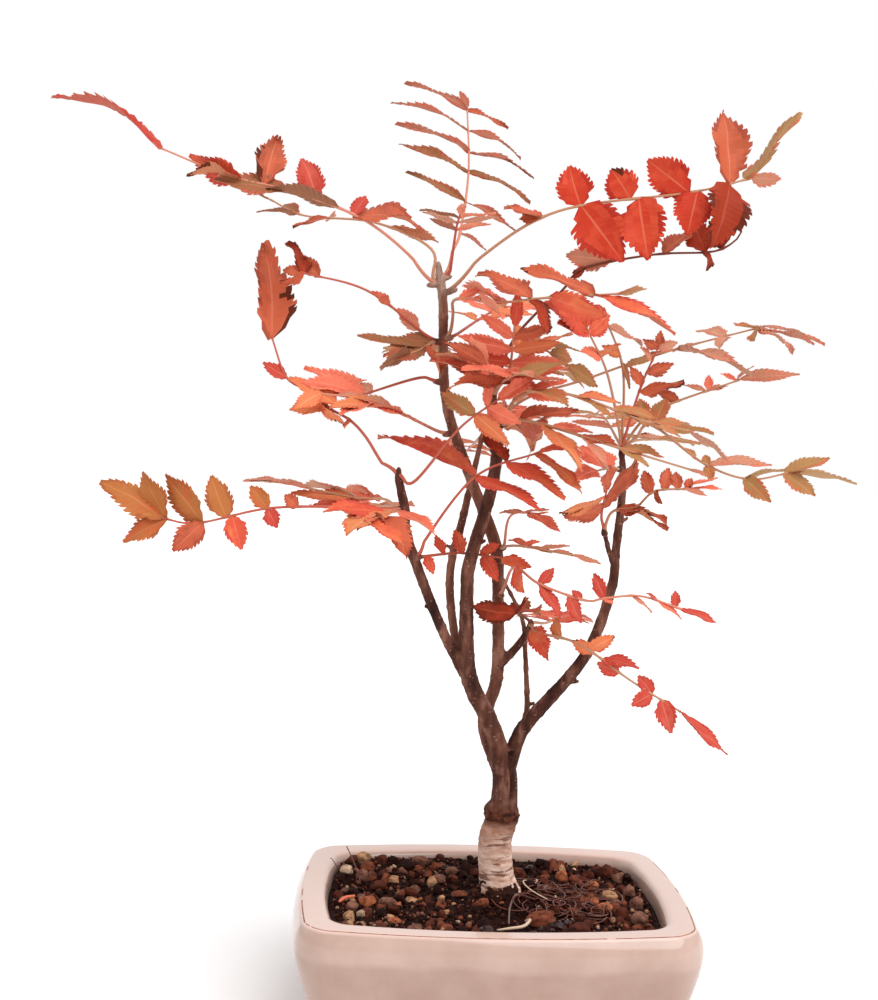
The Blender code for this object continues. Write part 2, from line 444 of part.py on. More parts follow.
def rim_ring(height, offset, share=1.0):
    """Points of one level of the pot: the rim's outline, offset outwards."""
    half_x, half_y = RIM_HALF_X + offset, RIM_HALF_Y + offset
    corner = max(LEAST_CORNER, RIM_CORNER + offset)
    points = []
    for turn, (sx, sy) in enumerate(((1, 1), (-1, 1), (-1, -1), (1, -1))):
        for a in np.linspace(0, math.pi / 2, 5) + turn * math.pi / 2:
            points.append((sx * (half_x - corner) + corner * math.cos(a),
                           sy * (half_y - corner) + corner * math.sin(a)))
        start = np.array(points[-1])
        along_x = turn % 2 == 0
        end = np.array((-sx * (half_x - corner), start[1]) if along_x else (start[0], -sy * (half_y - corner)))
        for f in np.linspace(0, 1, 7 if along_x else 5)[1:-1]:
            points.append(tuple(start + (end - start) * f))
    p = np.array(points)
    front = BOW_FRONT * (1 - (p[:, 0] / half_x) ** 2) * (p[:, 1] / half_y) ** 2
    side = BOW_SIDE * (1 - (p[:, 1] / half_y) ** 2) * (p[:, 0] / half_x) ** 2
    p = p + np.stack([np.sign(p[:, 0]) * side, np.sign(p[:, 1]) * front], 1)
    return np.c_[p * share, np.full(len(p), float(height))]


def loft(name, rings, collection):
    """A closed solid through rings of equal count, flat at both ends."""
    count = len(rings[0])
    faces = [tuple(range(count))[::-1], tuple(range(len(rings) * count - count, len(rings) * count))]
    for r in range(len(rings) - 1):
        for i in range(count):
            j = (i + 1) % count
            faces.append((r * count + i, r * count + j, (r + 1) * count + j, (r + 1) * count + i))
    return shape(name, np.vstack(rings), faces, collection)


def make_pot(collection):
    rings = [rim_ring(height, offset) for height, offset in POT_WALL]
    pot = loft("pot", rings, collection)
    pot.data.materials.append(material("pink cream glaze", (0.72, 0.56, 0.5), 0.2))


def make_soil(collection):
    """Fills the pot; its top is uneven, and flat round the trunk's foot."""
    rng = np.random.default_rng(5)
    rings = [rim_ring(height, offset) for height, offset in SOIL_WALL]
    foot = np.array(LIMBS["trunk"][1][0][:2])
    for share in SOIL_RINGS:
        ring = rings[len(SOIL_WALL) - 1].copy()
        ring[:, :2] = foot + (ring[:, :2] - foot) * share
        far = np.linalg.norm(ring[:, :2] - foot, axis=1)
        rise = np.clip((38 - far) / 20, 0, 1)
        uneven = rng.uniform(-0.9, 0.9, len(ring)) * np.clip((far - 18) / 12, 0, 1)
        ring[:, 2] = SOIL_EDGE + (SOIL_TOP - SOIL_EDGE) * rise + np.minimum(uneven, 1.5)
        rings.append(ring)
    soil = loft("soil", rings, collection)
    soil.data.materials.append(material("gritty soil", (0.09, 0.045, 0.03), 0.95))


def flare_foot(trunk):
    """Gives the trunk's foot three low lobes that die away upwards."""
    x, y = LIMBS["trunk"][1][0][:2]
    for v in trunk.data.vertices:
        dx, dy, up = v.co.x / MM - x, v.co.y / MM - y, v.co.z / MM - TRUNK_FOOT
        swell = 1 + FLARE * (1 + math.cos(3 * math.atan2(dy, dx) + 0.6)) * math.exp(-max(up, 0) / 7) * (up < 25)
        v.co.x = (x + dx * swell) * MM
        v.co.y = (y + dy * swell) * MM


def limb_stations(name, spare=0.0):
    length = smooth(LIMBS[name][1], 9)[1]
    stations = smooth(LIMBS[name][1], max(4, round(length / (7 if name == "trunk" else 12)) + 1))[0]
    stations[:, 3] += spare
    return stations


def make_limbs(collection, cutters):
    """Limbs as tapering tubes, each cut clear of the limbs that it grows out of. Returns test trees."""
    bark = material("bark", (0.13, 0.075, 0.055), 0.85)
    grown = {name: tube("grown_" + name, limb_stations(name, CLEAR), 10 if name == "trunk" else 8, cutters)
             for name in LIMBS}
    flare_foot(grown["trunk"])
    for name, (parents, _) in LIMBS.items():
        limb = tube(name, limb_stations(name), 10 if name == "trunk" else 8, collection)
        limb.data.materials.append(bark)
        for parent in parents:
            cut(limb, grown[parent])
        if name == "trunk":
            flare_foot(limb)
            bpy.ops.mesh.primitive_cube_add(size=80 * MM, location=(0, 0, (TRUNK_FOOT - 40) * MM))
            ground = bpy.context.object
            ground.name = "ground"
            for holder in list(ground.users_collection):
                holder.objects.unlink(ground)
            cutters.objects.link(ground)
            cut(limb, ground)
    for cutter in cutters.objects:
        cutter.hide_render = True
        cutter.display_type = "WIRE"
    return {name: tree_of(obj) for name, obj in grown.items()}


def spur_stations(mass):
    """A mass's stem: from just clear of its limb to its bud."""
    limb, bud = TUFTS[mass]
    path = smooth(LIMBS[limb][1], 400)[0]
    bud = np.array(bud, float)
    near = np.linalg.norm(path[:, :3] - bud, axis=1).argmin()
    root, radius = path[near, :3], path[near, 3]
    way = unit(bud - root)
    if near == len(path) - 1:  # on from the limb's tip, square to its end
        ahead = unit(root - path[-8, :3])
        start, knee = root + ahead * (CLEAR + 0.05), root + ahead * 1.6
    else:
        start, knee = root + way * (radius + CLEAR + 0.05), (root + way * radius + bud) / 2
    return np.array([(*start, SPUR[0]), (*knee, SPUR[0]), (*bud, SPUR[1]), (*(bud + 1.3 * way), 0.7 * SPUR[1])])


def stalk(row):
    """A leaf's stalk: 41 stations on straight runs, with radii, and its frame at each."""
    path, _ = smooth(row["route"], 41)
    along = unit(np.gradient(path, axis=0))
    path = np.stack([np.interp(range(41), range(0, 41, RUN), column[::RUN]) for column in path.T], 1)
    face = unit(row["face"])
    normal = unit(face - (along @ face)[:, None] * along)
    return np.c_[path, np.linspace(*STALK, 41)], along, normal, np.cross(normal, along)


def leaflets(row):
    """Every leaflet of a leaf as (station, side, angle, lift, roll, length, slimness, arch)."""
    left = stalk(row)[3]
    up_side = 1 if left[20:, 2].mean() > 0 else -1
    rng = np.random.default_rng(sum(map(ord, row["name"])))
    rows = [(up_side, row["turn"][0], row["upper"]), (-up_side, row["turn"][1], row["lower"])]
    if row["end"]:
        end = row["end"] if isinstance(row["end"], tuple) else (0, row["end"])
        rows.append((1, row["turn"][2], ((1, *end),)))
    found = []
    for side, turn, places in rows:
        for at, angle, scale, *own in places:
            drawn = rng.normal(0, 1, 3) * (not own)
            turned, arch = (*own, *(turn, row["arch"])[len(own):])
            found.append((round(at * 40), side, math.radians(angle + 2 * drawn[0]),
                          math.radians(row["lift"] + 3 * drawn[1]),
                          math.radians(side * turned + 8 * drawn[2]), row["size"] * scale, scale**-0.4, arch))
    return found


def blade_points(row, leaflet, size, tilt, margin=0.0):
    """A leaflet's solid: a point at its root, two ridged sections, and a point at its tip."""
    path, along, normal, left = stalk(row)
    k, side, angle, lift, roll, length, slim, arch = leaflet
    lift += math.radians(tilt)
    way = unit(math.cos(angle) * along[k]
               + math.sin(angle) * (math.cos(lift) * side * left[k] + math.sin(lift) * normal[k]))
    up = unit(normal[k] - (normal[k] @ way) * way)
    up = unit(up * math.cos(roll) + np.cross(way, up) * math.sin(roll))
    across = np.cross(up, way)
    length *= size
    start = (0.12 * side - 0.3) if k < 40 else -1  # sunk in the stalk, and not where its pair starts
    def at(t, out, high):
        middle = path[k, :3] + (t * length + start) * way - arch * length * t**2 * up
        return middle + out * across + high * up
    points = [at(0.12 if margin else 0, 0, 0)]
    for t, share in BLADE:
        half = share * row["wide"] * slim * length / 2 + margin
        points += [at(t, half, -margin), at(t, 0, RIB * length + margin), at(t, -half, -margin)]
    return points + [at(1 + margin / length, 0, 0)]


def blade_faces():
    faces = [(0, 1 + (i + 1) % 3, 1 + i) for i in range(3)]
    last = 1 + 3 * (len(BLADE) - 1)
    for ring in range(1, last, 3):
        for i in range(3):
            a, b = ring + i, ring + (i + 1) % 3
            faces += [(a, b, b + 3), (a, b + 3, a + 3)]
    return faces + [(last + i, last + (i + 1) % 3, last + 3) for i in range(3)]


def place_leaflets(limb_trees, stem_trees):
    """Chooses each leaflet's size and tilt by TRIES: {leaf name: [(leaflet, size, tilt)]}.

    It has to clear every limb and every other mass, and clears its own mass where it can."""
    placed, chosen = [], {}
    faces = blade_faces()
    for row in LEAVES:
        chosen[row["name"]] = []
        hard = list(limb_trees.values()) + [t for m, _, t in stem_trees if m != row["mass"]]
        hard += [t for m, t in placed if m != row["mass"]]
        soft = [t for m, n, t in stem_trees if m == row["mass"] and n != row["name"]]
        soft += [t for m, t in placed if m == row["mass"]]
        own = []
        for leaflet in leaflets(row):
            fallback = None
            for size, tilt in TRIES:
                points = [tuple(p * MM) for p in blade_points(row, leaflet, size, tilt, MARGIN)]
                test = BVHTree.FromPolygons(points, faces)
                if any(test.overlap(other) for other in hard):
                    continue
                fallback = fallback or (size, tilt, test)
                if not any(test.overlap(other) for other in soft):
                    fallback = (size, tilt, test)
                    break
            if fallback:
                chosen[row["name"]].append((leaflet, *fallback[:2]))
                own.append((row["mass"], fallback[2]))
        placed += own
    return chosen


def fuse(name, collection, target):
    """One Boolean union on the collection, applied. Only the largest shell stays."""
    first = collection.objects[0]
    rest = new_collection("rest of " + name)
    for obj in list(collection.objects)[1:]:
        collection.objects.unlink(obj)
        rest.objects.link(obj)
    join = first.modifiers.new("fuse", "BOOLEAN")
    join.operation = "UNION"
    join.solver = "MANIFOLD"
    join.operand_type = "COLLECTION"
    join.collection = rest
    bpy.context.view_layer.update()
    mesh = bpy.data.meshes.new_from_object(first.evaluated_get(bpy.context.evaluated_depsgraph_get()))
    for obj in list(rest.objects) + [first]:
        bpy.data.objects.remove(obj)
    for spent in (rest, collection):
        bpy.data.collections.remove(spent)
    keep_largest(mesh)
    mesh.name = name
    made = bpy.data.objects.new(name, mesh)
    target.objects.link(made)
    return made


def keep_largest(mesh):
    """Drops every shell but the one with the most faces: loose scraps, and hollows sealed by the union."""
    work = bmesh.new()
    work.from_mesh(mesh)
    unseen, shells = set(work.verts), []
    while unseen:
        shell, edge = set(), [unseen.pop()]
        while edge:
            vert = edge.pop()
            shell.add(vert)
            near = {e.other_vert(vert) for e in vert.link_edges} & unseen
            unseen -= near
            edge += near
        shells.append(shell)
    shells.sort(key=len)
    for shell in shells[:-1]:
        bmesh.ops.delete(work, geom=list(shell), context="VERTS")
    work.to_mesh(mesh)
    work.free()


def make_masses(collection, limb_trees):
    helpers = new_collection("helpers")
    stem_trees = []
    for mass in TUFTS:
        grown = tube("test", spur_stations(mass) + (0, 0, 0, MARGIN), 4, helpers)
        stem_trees.append((mass, "spur", tree_of(grown)))
    for row in LEAVES:
        stations = stalk(row)[0][::RUN]
        grown = tube("test", stations + (0, 0, 0, MARGIN), 4, helpers)
        stem_trees.append((row["mass"], row["name"], tree_of(grown)))
    for obj in list(helpers.objects):
        bpy.data.objects.remove(obj)
    bpy.data.collections.remove(helpers)
    chosen = place_leaflets(limb_trees, stem_trees)
    tints = {name: material(name + " leaves", colour, 0.6) for name, colour in COLOURS.items()}
    for mass in TUFTS:
        parts = new_collection("parts of " + mass)
        tube(mass + " spur", spur_stations(mass), 6, parts)
        for row in LEAVES:
            if row["mass"] != mass:
                continue
            tube(row["name"], stalk(row)[0][::RUN], 4, parts)
            for leaflet, size, tilt in chosen[row["name"]]:
                shape("leaflet", blade_points(row, leaflet, size, tilt), blade_faces(), parts)
        made = fuse(mass + "_leaves", parts, collection)
        made.data.materials.clear()
        made.data.materials.append(tints[MASS_COLOUR[mass]])


def main():
    clear_scene()
    rowan = new_collection("rowan bonsai")
    cutters = new_collection("cutters")
    make_pot(rowan)
    make_soil(rowan)
    limb_trees = make_limbs(rowan, cutters)
    make_masses(rowan, limb_trees)


main()
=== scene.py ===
"""Looks of the rowan bonsai: bark, autumn leaves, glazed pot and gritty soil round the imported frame.

The plant's tables are the source's own, in millimetres, and meshes are made in metres. +X is to the right,
+Y away and +Z up.
"""

import math

import bmesh
import bpy
import numpy as np
from mathutils import Matrix, Vector, noise
from mathutils.bvhtree import BVHTree
from mathutils.kdtree import KDTree


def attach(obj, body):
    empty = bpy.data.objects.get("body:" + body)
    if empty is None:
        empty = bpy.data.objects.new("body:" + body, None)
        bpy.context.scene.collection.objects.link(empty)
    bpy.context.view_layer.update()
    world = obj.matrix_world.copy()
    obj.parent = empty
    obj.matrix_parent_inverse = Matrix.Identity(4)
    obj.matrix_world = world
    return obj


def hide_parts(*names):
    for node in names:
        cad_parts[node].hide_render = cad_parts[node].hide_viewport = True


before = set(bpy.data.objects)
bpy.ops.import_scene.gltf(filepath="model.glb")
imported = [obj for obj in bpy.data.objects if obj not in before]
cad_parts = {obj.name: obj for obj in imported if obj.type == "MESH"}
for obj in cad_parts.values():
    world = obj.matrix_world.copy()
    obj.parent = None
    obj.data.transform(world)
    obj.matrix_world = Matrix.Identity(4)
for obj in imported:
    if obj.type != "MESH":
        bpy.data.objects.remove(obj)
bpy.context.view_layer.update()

MM = 0.001
CLEAR = 0.3
RIM_HALF_X = 100
RIM_HALF_Y = 75.7
RIM_CORNER = 13.4
LEAST_CORNER = 10
BOW_FRONT = 9.3
BOW_SIDE = 5.6
RIM_HEIGHT = 65
CAVITY_FLOOR = 12
SOIL_EDGE = 57.6
SOIL_TOP = 61.2
# (height, offset from the rim's outline), from the foot up, over the rim and down inside
POT_WALL = (
    (0, -16.4), (4, -16), (4.6, -12.8), (14, -7.6), (27, -2.4), (41, 1.8), (51, 3.5), (58, 3), (62.4, 1.3),
    (64.5, -0.3), (RIM_HEIGHT, -1.8), (RIM_HEIGHT, -12.5), (63.6, -14.5), (20, -18), (CAVITY_FLOOR, -22))
TRUNK_FOOT = 61.5
FLARE = 0.14

# Each limb: the limbs it grows out of, then (x, y, z, radius) along it
LIMBS = {
    "trunk": ((), (
        (5, 0, 62, 10.2), (2.5, 0, 72.1, 9.6), (1.3, 0, 91.3, 9.4), (4.3, 0, 101.5, 8.9),
        (4.6, 0, 107.6, 9.3), (5.6, 0, 113.8, 7.6), (5.7, 0, 125.1, 7), (4.3, 0, 135.1, 6.6))),
    "front_stem": (("trunk",), (
        (3.7, -2, 130, 5.4), (1.5, -4, 143.2, 5.2), (-6, -7, 162, 4.9), (-13.8, -9, 176, 4.7),
        (-18.3, -11, 192.1, 4.4), (-19.7, -13, 230.7, 3.7), (-18.6, -13, 247.1, 3.7),
        (-10, -15, 280.1, 3.4), (-7.3, -17, 294.9, 3.3), (-5.9, -18, 313.8, 2.9), (-8.9, -20, 334.1, 2))),
    "left_stem": (("front_stem",), (
        (-19.7, -11, 185.5, 3), (-35.2, -17, 215.5, 2.8), (-52.8, -22, 258.7, 2.8),
        (-55, -23, 274.8, 2.7), (-58.7, -24, 290.7, 2.2))),
    "back_stem": (("front_stem", "left_stem"), (
        (-20.9, -8, 192.7, 2.3), (-24.8, -1, 204.9, 2.3), (-28, 4, 227.7, 2.4), (-27.4, 8, 246.6, 2.3),
        (-22.5, 12, 266.2, 2.3), (-12.9, 13, 313.2, 1.4))),
    "leader": (("trunk", "front_stem"), (
        (1.9, 3, 129.9, 3.8), (-6.4, 8, 155.7, 3.6), (0.1, 8, 182.4, 3.6), (-1, 8, 230.2, 3.3),
        (-2.2, 7, 249.4, 3.6), (-6.7, 6, 265, 3.4), (-19, 4, 293.6, 3), (-33.6, 4, 335.3, 2.8),
        (-36.9, 4, 387.6, 2.6), (-39, 4, 401.2, 2.6), (-40.4, 4, 411.1, 1.3))),
    "side_branch": (("leader",), (
        (1, 8, 187.5, 2.6), (12.6, 7.5, 201.1, 2.2), (17.4, 8, 209.7, 1.8))),
    "right_stem": (("trunk", "front_stem", "leader"), (
        (7.7, 0, 133, 4.4), (11.5, -2, 148, 4.2), (18.2, -3, 159.6, 3.9), (47.3, -5, 196.2, 3.2),
        (61, -2, 232.9, 2.8), (63.3, 0, 255.1, 2.5), (66.3, 2, 291.3, 2.1), (65.3, 3, 307.4, 1.7))),
    "thin_stem": (("right_stem", "leader"), (
        (11.9, 6, 141.9, 2.2), (14.8, 10, 152.4, 2), (18, 12, 163.5, 1.7), (15.9, 13, 196.2, 1.4),
        (13.5, 12, 213.9, 1.3), (1.4, 12, 237.3, 1))),
    "right_shoot": (("right_stem",), (
        (61.2, -1, 248.4, 1.5), (58.2, -4, 256.3, 1.4), (55.9, -6, 263.6, 1.3))),
}

# Each leaf mass: the limb that its spur stands on, and where the spur ends
TUFTS = {
    "upper_left": ("leader", (-45, 2, 398)), "top": ("leader", (-34, 2, 403)),
    "upper_right": ("leader", (-31, -6, 395)), "mid_left": ("leader", (-42, -2, 367)),
    "mid_right": ("leader", (-32, -4, 369)), "inner_left": ("leader", (-40, 0, 345)),
    "lower_inner": ("leader", (-34, -2, 316)), "left_tip": ("left_stem", (-59, -24, 296)),
    "left_low": ("left_stem", (-59, -28, 275)), "left_mid": ("left_stem", (-46, -25, 250)),
    "front_tip": ("front_stem", (-9, -20, 340)), "front_side": ("front_stem", (-3, -22, 322)),
    "back_tip": ("back_stem", (-12, 13, 317)), "right_tip": ("right_stem", (65, 3, 312)),
    "right_side": ("right_stem", (62, -4, 300)), "right_shoot": ("right_shoot", (55, -8, 267)),
    "centre_low": ("leader", (1, 2, 254)), "lower_front": ("leader", (1, 2, 228)),
    "lower": ("side_branch", (18, 8, 213)),
}

SPUR = (1.5, 1.15)
STALK = (0.9, 0.5)
RUN = 8
BLADE = ((0.3, 0.95), (0.72, 0.86))
RIB = 0.026
MARGIN = 0.4
TRIES = ((1, 0), (1, 12), (1, -12), (1, 24), (1, -24), (0.85, 0), (0.85, 16), (0.85, -16),
         (0.7, 0), (0.7, 20), (0.7, -20))

LEAVES = []


def even(first, angles, sizes):
    """A row of leaflets evenly spaced from first to the tip: (place, angle, size) of each."""
    count = len(sizes)
    return tuple(
        (round(first + (1 - first) * i / count, 2),
         round(angles[0] + (angles[1] - angles[0]) * i / max(1, count - 1)), size)
        for i, size in enumerate(sizes) if size)


def leaf(name, mass, size, face, route, upper, lower, end, lift, arch, wide, turn=(0, 0, 0), tints="C"):
    """One compound leaf: leaflet size, the way it faces, its stalk's route, two rows of leaflets, tints."""
    LEAVES.append(dict(name=name, mass=mass, size=size, face=face, route=(TUFTS[mass][1], *route),
                       upper=upper, lower=lower, end=end, lift=lift, arch=arch, wide=wide, turn=turn,
                       tints=tints))


leaf("upper_left", "upper_left", 27, (0, -0.75, 0.66),
     ((-55, -2, 412), (-81, -10, 430), (-116, -16, 442), (-153, -20, 449), (-190, -22, 462)),
     ((0.35, 148, 1.7, 20), (0.35, 99, 0.6, 35, 0.05), (0.47, 60, 1.15, 25), (0.65, 93, 1.5, 0),
      (0.72, 8, 1.15, 80)),
     ((0.4, 4, 1.5, 65, 0.1), (0.57, 5, 1.45, 0, 0.1), (0.72, 3, 1.05, 65, 0.1),
      (0.82, 120, 0.25, 20)),
     end=(-47, 3.4, 40, 0.36), lift=10, arch=0.15, wide=0.5, tints="BKKBSDDBKK")
leaf("upper_left_low", "upper_left", 25, (0, -0.3, 0.95),
     ((-44, 6, 418), (-76, 20, 434), (-116, 30, 438), (-136, 34, 447)),
     even(0.4, (150, 40), (1.1, 0, 0.9, 1)),
     even(0.4, (40, 40), (0, 0, 0.9, 1)),
     end=1, lift=4, arch=0.15, wide=0.34, turn=(50, 0, 30), tints="BTDBDD")
# the top leaves' D leaflets carry painted shade, darker for leaves seen against the light
leaf("top_back", "top", 43, (0.47, -0.58, 0.66),
     ((-33, 6, 416), (-28, 16, 430), (-22, 60, 473), (-22, 98, 520)),
     ((0.4, 102, 0.9, -20), (0.6, 100, 1.05, -5), (0.72, 96, 1.15, 10), (0.85, 92, 1.2, 20),
      (0.97, 93, 1, 5)),
     ((0.2, 96, 0.4, 0), (0.4, 91, 0.8, -5), (0.6, 86, 1, 0), (0.72, 77, 1.1, 15),
      (0.85, 83, 0.9, 15, 0.35), (0.97, 84, 0.7, 0)),
     end=(31, 0.3, -20, 0.1), lift=16, arch=0.3, wide=0.27, tints="DDPPPPPDPPBP")
leaf("top_front", "top", 21, (0, -0.5, 0.85),
     ((-32, -16, 426), (-31, -34, 431)),
     even(0.6, (70, 60), (0.9, 1.1, 1)),
     even(0.6, (60, 60), (0.9, 1.1, 1.2)),
     end=1, lift=8, arch=0.15, wide=0.42, tints="CTCPTDC")
leaf("upper_right", "upper_right", 31, (0, -0.95, 0.3),
     ((-16, -11, 414), (23, -24, 437), (90, -36, 447), (123, -36, 456)),
     ((0.35, 132, 0.7, 55), (0.35, 151, 0.4, 35), (0.47, 97, 0.75, 0), (0.62, 118, 0.6, -15, 0.1),
      (0.8, 131, 0.9, -20), (0.93, 70, 1.4, 20), (0.97, 32, 1.55, -65, -0.1)),
     ((0.47, 66, 1.05, -10), (0.65, 87, 1.05, -5), (0.82, 113, 0.7, 0), (0.93, 117, 1.05, 25)),
     end=(-22, 0.5, 75), lift=8, arch=0.15, wide=0.58, tints="BBRRRBVRRRMT")
leaf("right_over", "front_tip", 25, (0, -0.85, 0.5),
     ((0, -10, 366), (13, -4, 383), (28, -4, 397), (39, -8, 409), (76, -14, 417),
      (108, -12, 420), (120, -12, 426), (124, -12, 433), (119, -12, 439)),
     ((0.55, 158, 1.05, -30), (0.7, 44, 1, -25), (0.82, 97, 0.8, -25), (0.88, 57, 0.95, -20)),
     ((0.47, 158, 0.4, -20), (0.82, 89, 0.45, 45)),
     end=0, lift=6, arch=0.15, wide=0.56, tints="TBMMMM")
leaf("mid_right", "mid_right", 30, (0, -0.75, 0.66),
     ((-32, -12, 381), (-31, -24, 388), (-10, -52, 384), (12, -62, 386), (49, -66, 389)),
     ((0.25, 50, 0.4, 40, 0.1), (0.28, 166, 1.95, 40, 0.12), (0.42, 174, 0.75, 15, 0.1),
      (0.5, 139, 2.25, 50, 0.12), (0.65, 134, 1.4, 20, 0.12), (0.9, 143, 1.45, 15, 0.12)),
     ((0.4, 17, 1.2, 75, 0.1), (0.65, 64, 0.9, 35, 0.1), (0.72, 35, 1.1, -40, 0.1),
      (0.9, 31, 1.55, 30)),
     end=(12, 0.5, -65, 0.04), lift=8, arch=0.15, wide=0.42, tints="CBCCBBCMSSV")
leaf("centre_up", "front_tip", 24, (0.1, -0.9, 0.5),
     ((-2, -26, 350), (-1, -40, 374)),
     even(0.3, (95, 70), (1.2, 1.25, 1.1, 0.9)),
     even(0.3, (100, 50), (1.4, 1.5, 1.3, 0.9)),
     end=0.8, lift=8, arch=0.2, wide=0.33, turn=(30, 25, 0), tints="CCOBOSCCS")
leaf("scarlet_high", "right_tip", 31, (0, -0.9, 0.45),
     ((62, 2, 327), (53, -8, 354), (38, -30, 375)),
     ((0.75, 132, 0.75, -45, 0.1), (0.95, 113, 0.75, 10, 0.1)),
     ((0.7, 31, 0.6, 50, 0.1), (0.95, 30, 1, 50, 0.1), (0.97, 22, 1.35, 25, 0.1)),
     end=(-5, 0.65, -45, 0.1), lift=4, arch=0.15, wide=0.46, tints="OSCSSS")
leaf("long_coral", "right_tip", 40, (0, -0.6, 0.8),
     ((66, 14, 356), (53, 4, 385)),
     ((0.62, 171, 0.4, 35, 0.05), (0.9, 129, 1.1, 40, 0.1)),
     ((0.68, 50, 0.35, -20),),
     end=(42, 0.35, -25, 0.1), lift=8, arch=0.2, wide=0.3, tints="DTOS")
leaf("small_red", "right_tip", 15, (0.2, -0.95, 0.2),
     ((73, -4, 345), (81, -12, 368)),
     ((0.6, 48, 0.85, 30), (0.85, 56, 0.7, 60), (0.97, 80, 0.65, 0)),
     ((0.55, 62, 1.7, -35, 0.02), (0.72, 51, 1.05, 0), (0.97, 54, 0.75, 0)),
     end=(19, 0.6, -10, 0.1), lift=8, arch=0.15, wide=0.5, tints="BTBBBTB")
leaf("mid_thin", "back_tip", 26, (0, -0.35, 0.93),
     ((-2, 16, 328), (18, 28, 341), (45, 34, 350), (90, 30, 367), (145, 12, 383)),
     ((0.68, 172, 0.45, -20), (0.78, 172, 0.5, 0), (0.88, 114, 1.55, 10, 0.1),
      (0.97, 120, 0.9, 15, 0.05)),
     ((0.65, 172, 0.8, 10, 0.05), (0.72, 59, 3.1, 30, 0.12), (0.88, 99, 0.8, 0, 0.1),
      (0.97, 69, 2.4, 40, 0.12), (0.97, 59, 2.35, 30, 0.12), (0.97, 98, 0.85, -30, 0.1)),
     end=(-46, 1.8, -25), lift=4, arch=0.15, wide=0.4, tints="BTTVVTTTTVT")
leaf("right_pink", "right_tip", 17, (0, -0.75, 0.6),
     ((84, 8, 333), (130, 4, 352)),
     ((0.55, 128, 0.85, -25), (0.75, 132, 0.8, 30), (0.75, 3, 0.75, -25), (0.78, 72, 0.6, 0),
      (0.97, 120, 0.6, 35), (0.97, 31, 0.8, -55)),
     (),
     end=(-14, 2, -10, 0.08), lift=10, arch=0.15, wide=0.42, tints="BTTCCTT")
leaf("olive_far", "right_tip", 24, (0, -0.75, 0.66),
     ((72, 0, 317), (80, -4, 325), (106, -18, 305), (129, -26, 297), (150, -30, 301)),
     ((0.17, 82, 0.8, 20), (0.23, 105, 1, -15), (0.25, 39, 1.3, -25, 0.1), (0.5, 163, 0.35, 20),
      (0.57, 130, 0.3, -20), (0.57, 40, 1.5, -30, 0.06), (0.78, 32, 0.95, -65, 0.08),
      (0.97, 14, 1.1, -15, 0.08)),
     ((0.57, 51, 0.45, -25), (0.78, 45, 0.85, -35), (0.97, 56, 0.9, 0)),
     end=(-14, 1.5, -65, 0.14), lift=8, arch=0.15, wide=0.46, tints="VVVVVTVVVVVV")
leaf("band_high", "front_side", 37, (0, -0.42, 0.9),
     ((1, -34, 335), (15, -46, 340), (38, -56, 335), (63, -60, 326), (89, -60, 321)),
     ((0.12, 55, 0.4, -10, 0.1), (0.25, 27, 0.55, 20, 0.1), (0.47, 29, 0.65, 0, 0.12),
      (0.65, 37, 0.75, 0, 0.12), (0.65, 10, 0.55, 0), (0.82, 32, 0.75, -5, 0.12)),
     ((0.25, 37, 1.25, 15), (0.47, 16, 0.65, 5), (0.82, 19, 0.45, 0, 0.12)),
     end=(-44, 0.8, -40, 0.06), lift=4, arch=0.15, wide=0.34, tints="CCOVVVVVVT")
leaf("band_low", "front_side", 34, (0, -0.45, 0.9),
     ((9, -38, 324), (54, -58, 311), (91, -60, 301)),
     ((0.07, 137, 3.4, 35, 0.12), (0.12, 50, 0.95, 20), (0.3, 29, 0.65, 5, 0.12),
      (0.45, 17, 0.65, 0, 0.12), (0.65, 24, 0.7, 0, 0.12)),
     ((0.25, 34, 1.35, 20), (0.45, 39, 0.95, 25, 0.12), (0.65, 24, 0.55, 5, 0.12)),
     end=(0, 0.25, 0, 0.06), lift=4, arch=0.15, wide=0.36, tints="BBCBVOTVT")
leaf("tan_saw", "front_tip", 27, (0, -0.55, 0.85),
     ((10, -4, 365), (20, 4, 365), (35, 10, 357)),
     even(0.42, (30, 30), (1, 1, 0.9)),
     even(0.42, (25, 25), (1.2, 1.1, 1)),
     end=0.9, lift=8, arch=0.15, wide=0.36, turn=(35, 20, 40), tints="OVVOVVV")
leaf("tip_left_gold", "left_tip", 21, (0, -0.9, 0.45),
     ((-51, -31, 290), (-28, -38, 319), (-8, -44, 335)),
     even(0.8, (110, 60), (1.15, 1)),
     even(0.8, (75, 60), (1.2, 1)),
     end=1, lift=8, arch=0.15, wide=0.42, tints="VCOCC")
leaf("left_cross", "left_mid", 31, (0, -0.85, 0.55),
     ((-44, -28, 259), (-19, -40, 294), (14, -46, 308)),
     ((0.6, 108, 2.45, 65, 0.22), (0.8, 107, 0.75, 40)),
     ((0.6, 56, 1.35, 60, 0.12), (0.8, 47, 1.25, 40, 0.12), (0.97, 55, 1.1, 50, 0.12)),
     end=(-4, 0.55, -35), lift=4, arch=0.15, wide=0.42, tints="SMSSOC")
leaf("left_short", "left_mid", 15, (0, -0.9, 0.4),
     ((-29, -6, 251), (-18, -4, 251), (-1, -16, 250)),
     ((0.35, 83, 0.85, -15), (0.57, 112, 1, 0), (0.75, 41, 0.8, 20)),
     ((0.07, 101, 0.75, -45), (0.78, 42, 1.3, 10)),
     end=(-8, 1.3, -10, 0.06), lift=4, arch=0.15, wide=0.5, tints="SSSSSS")
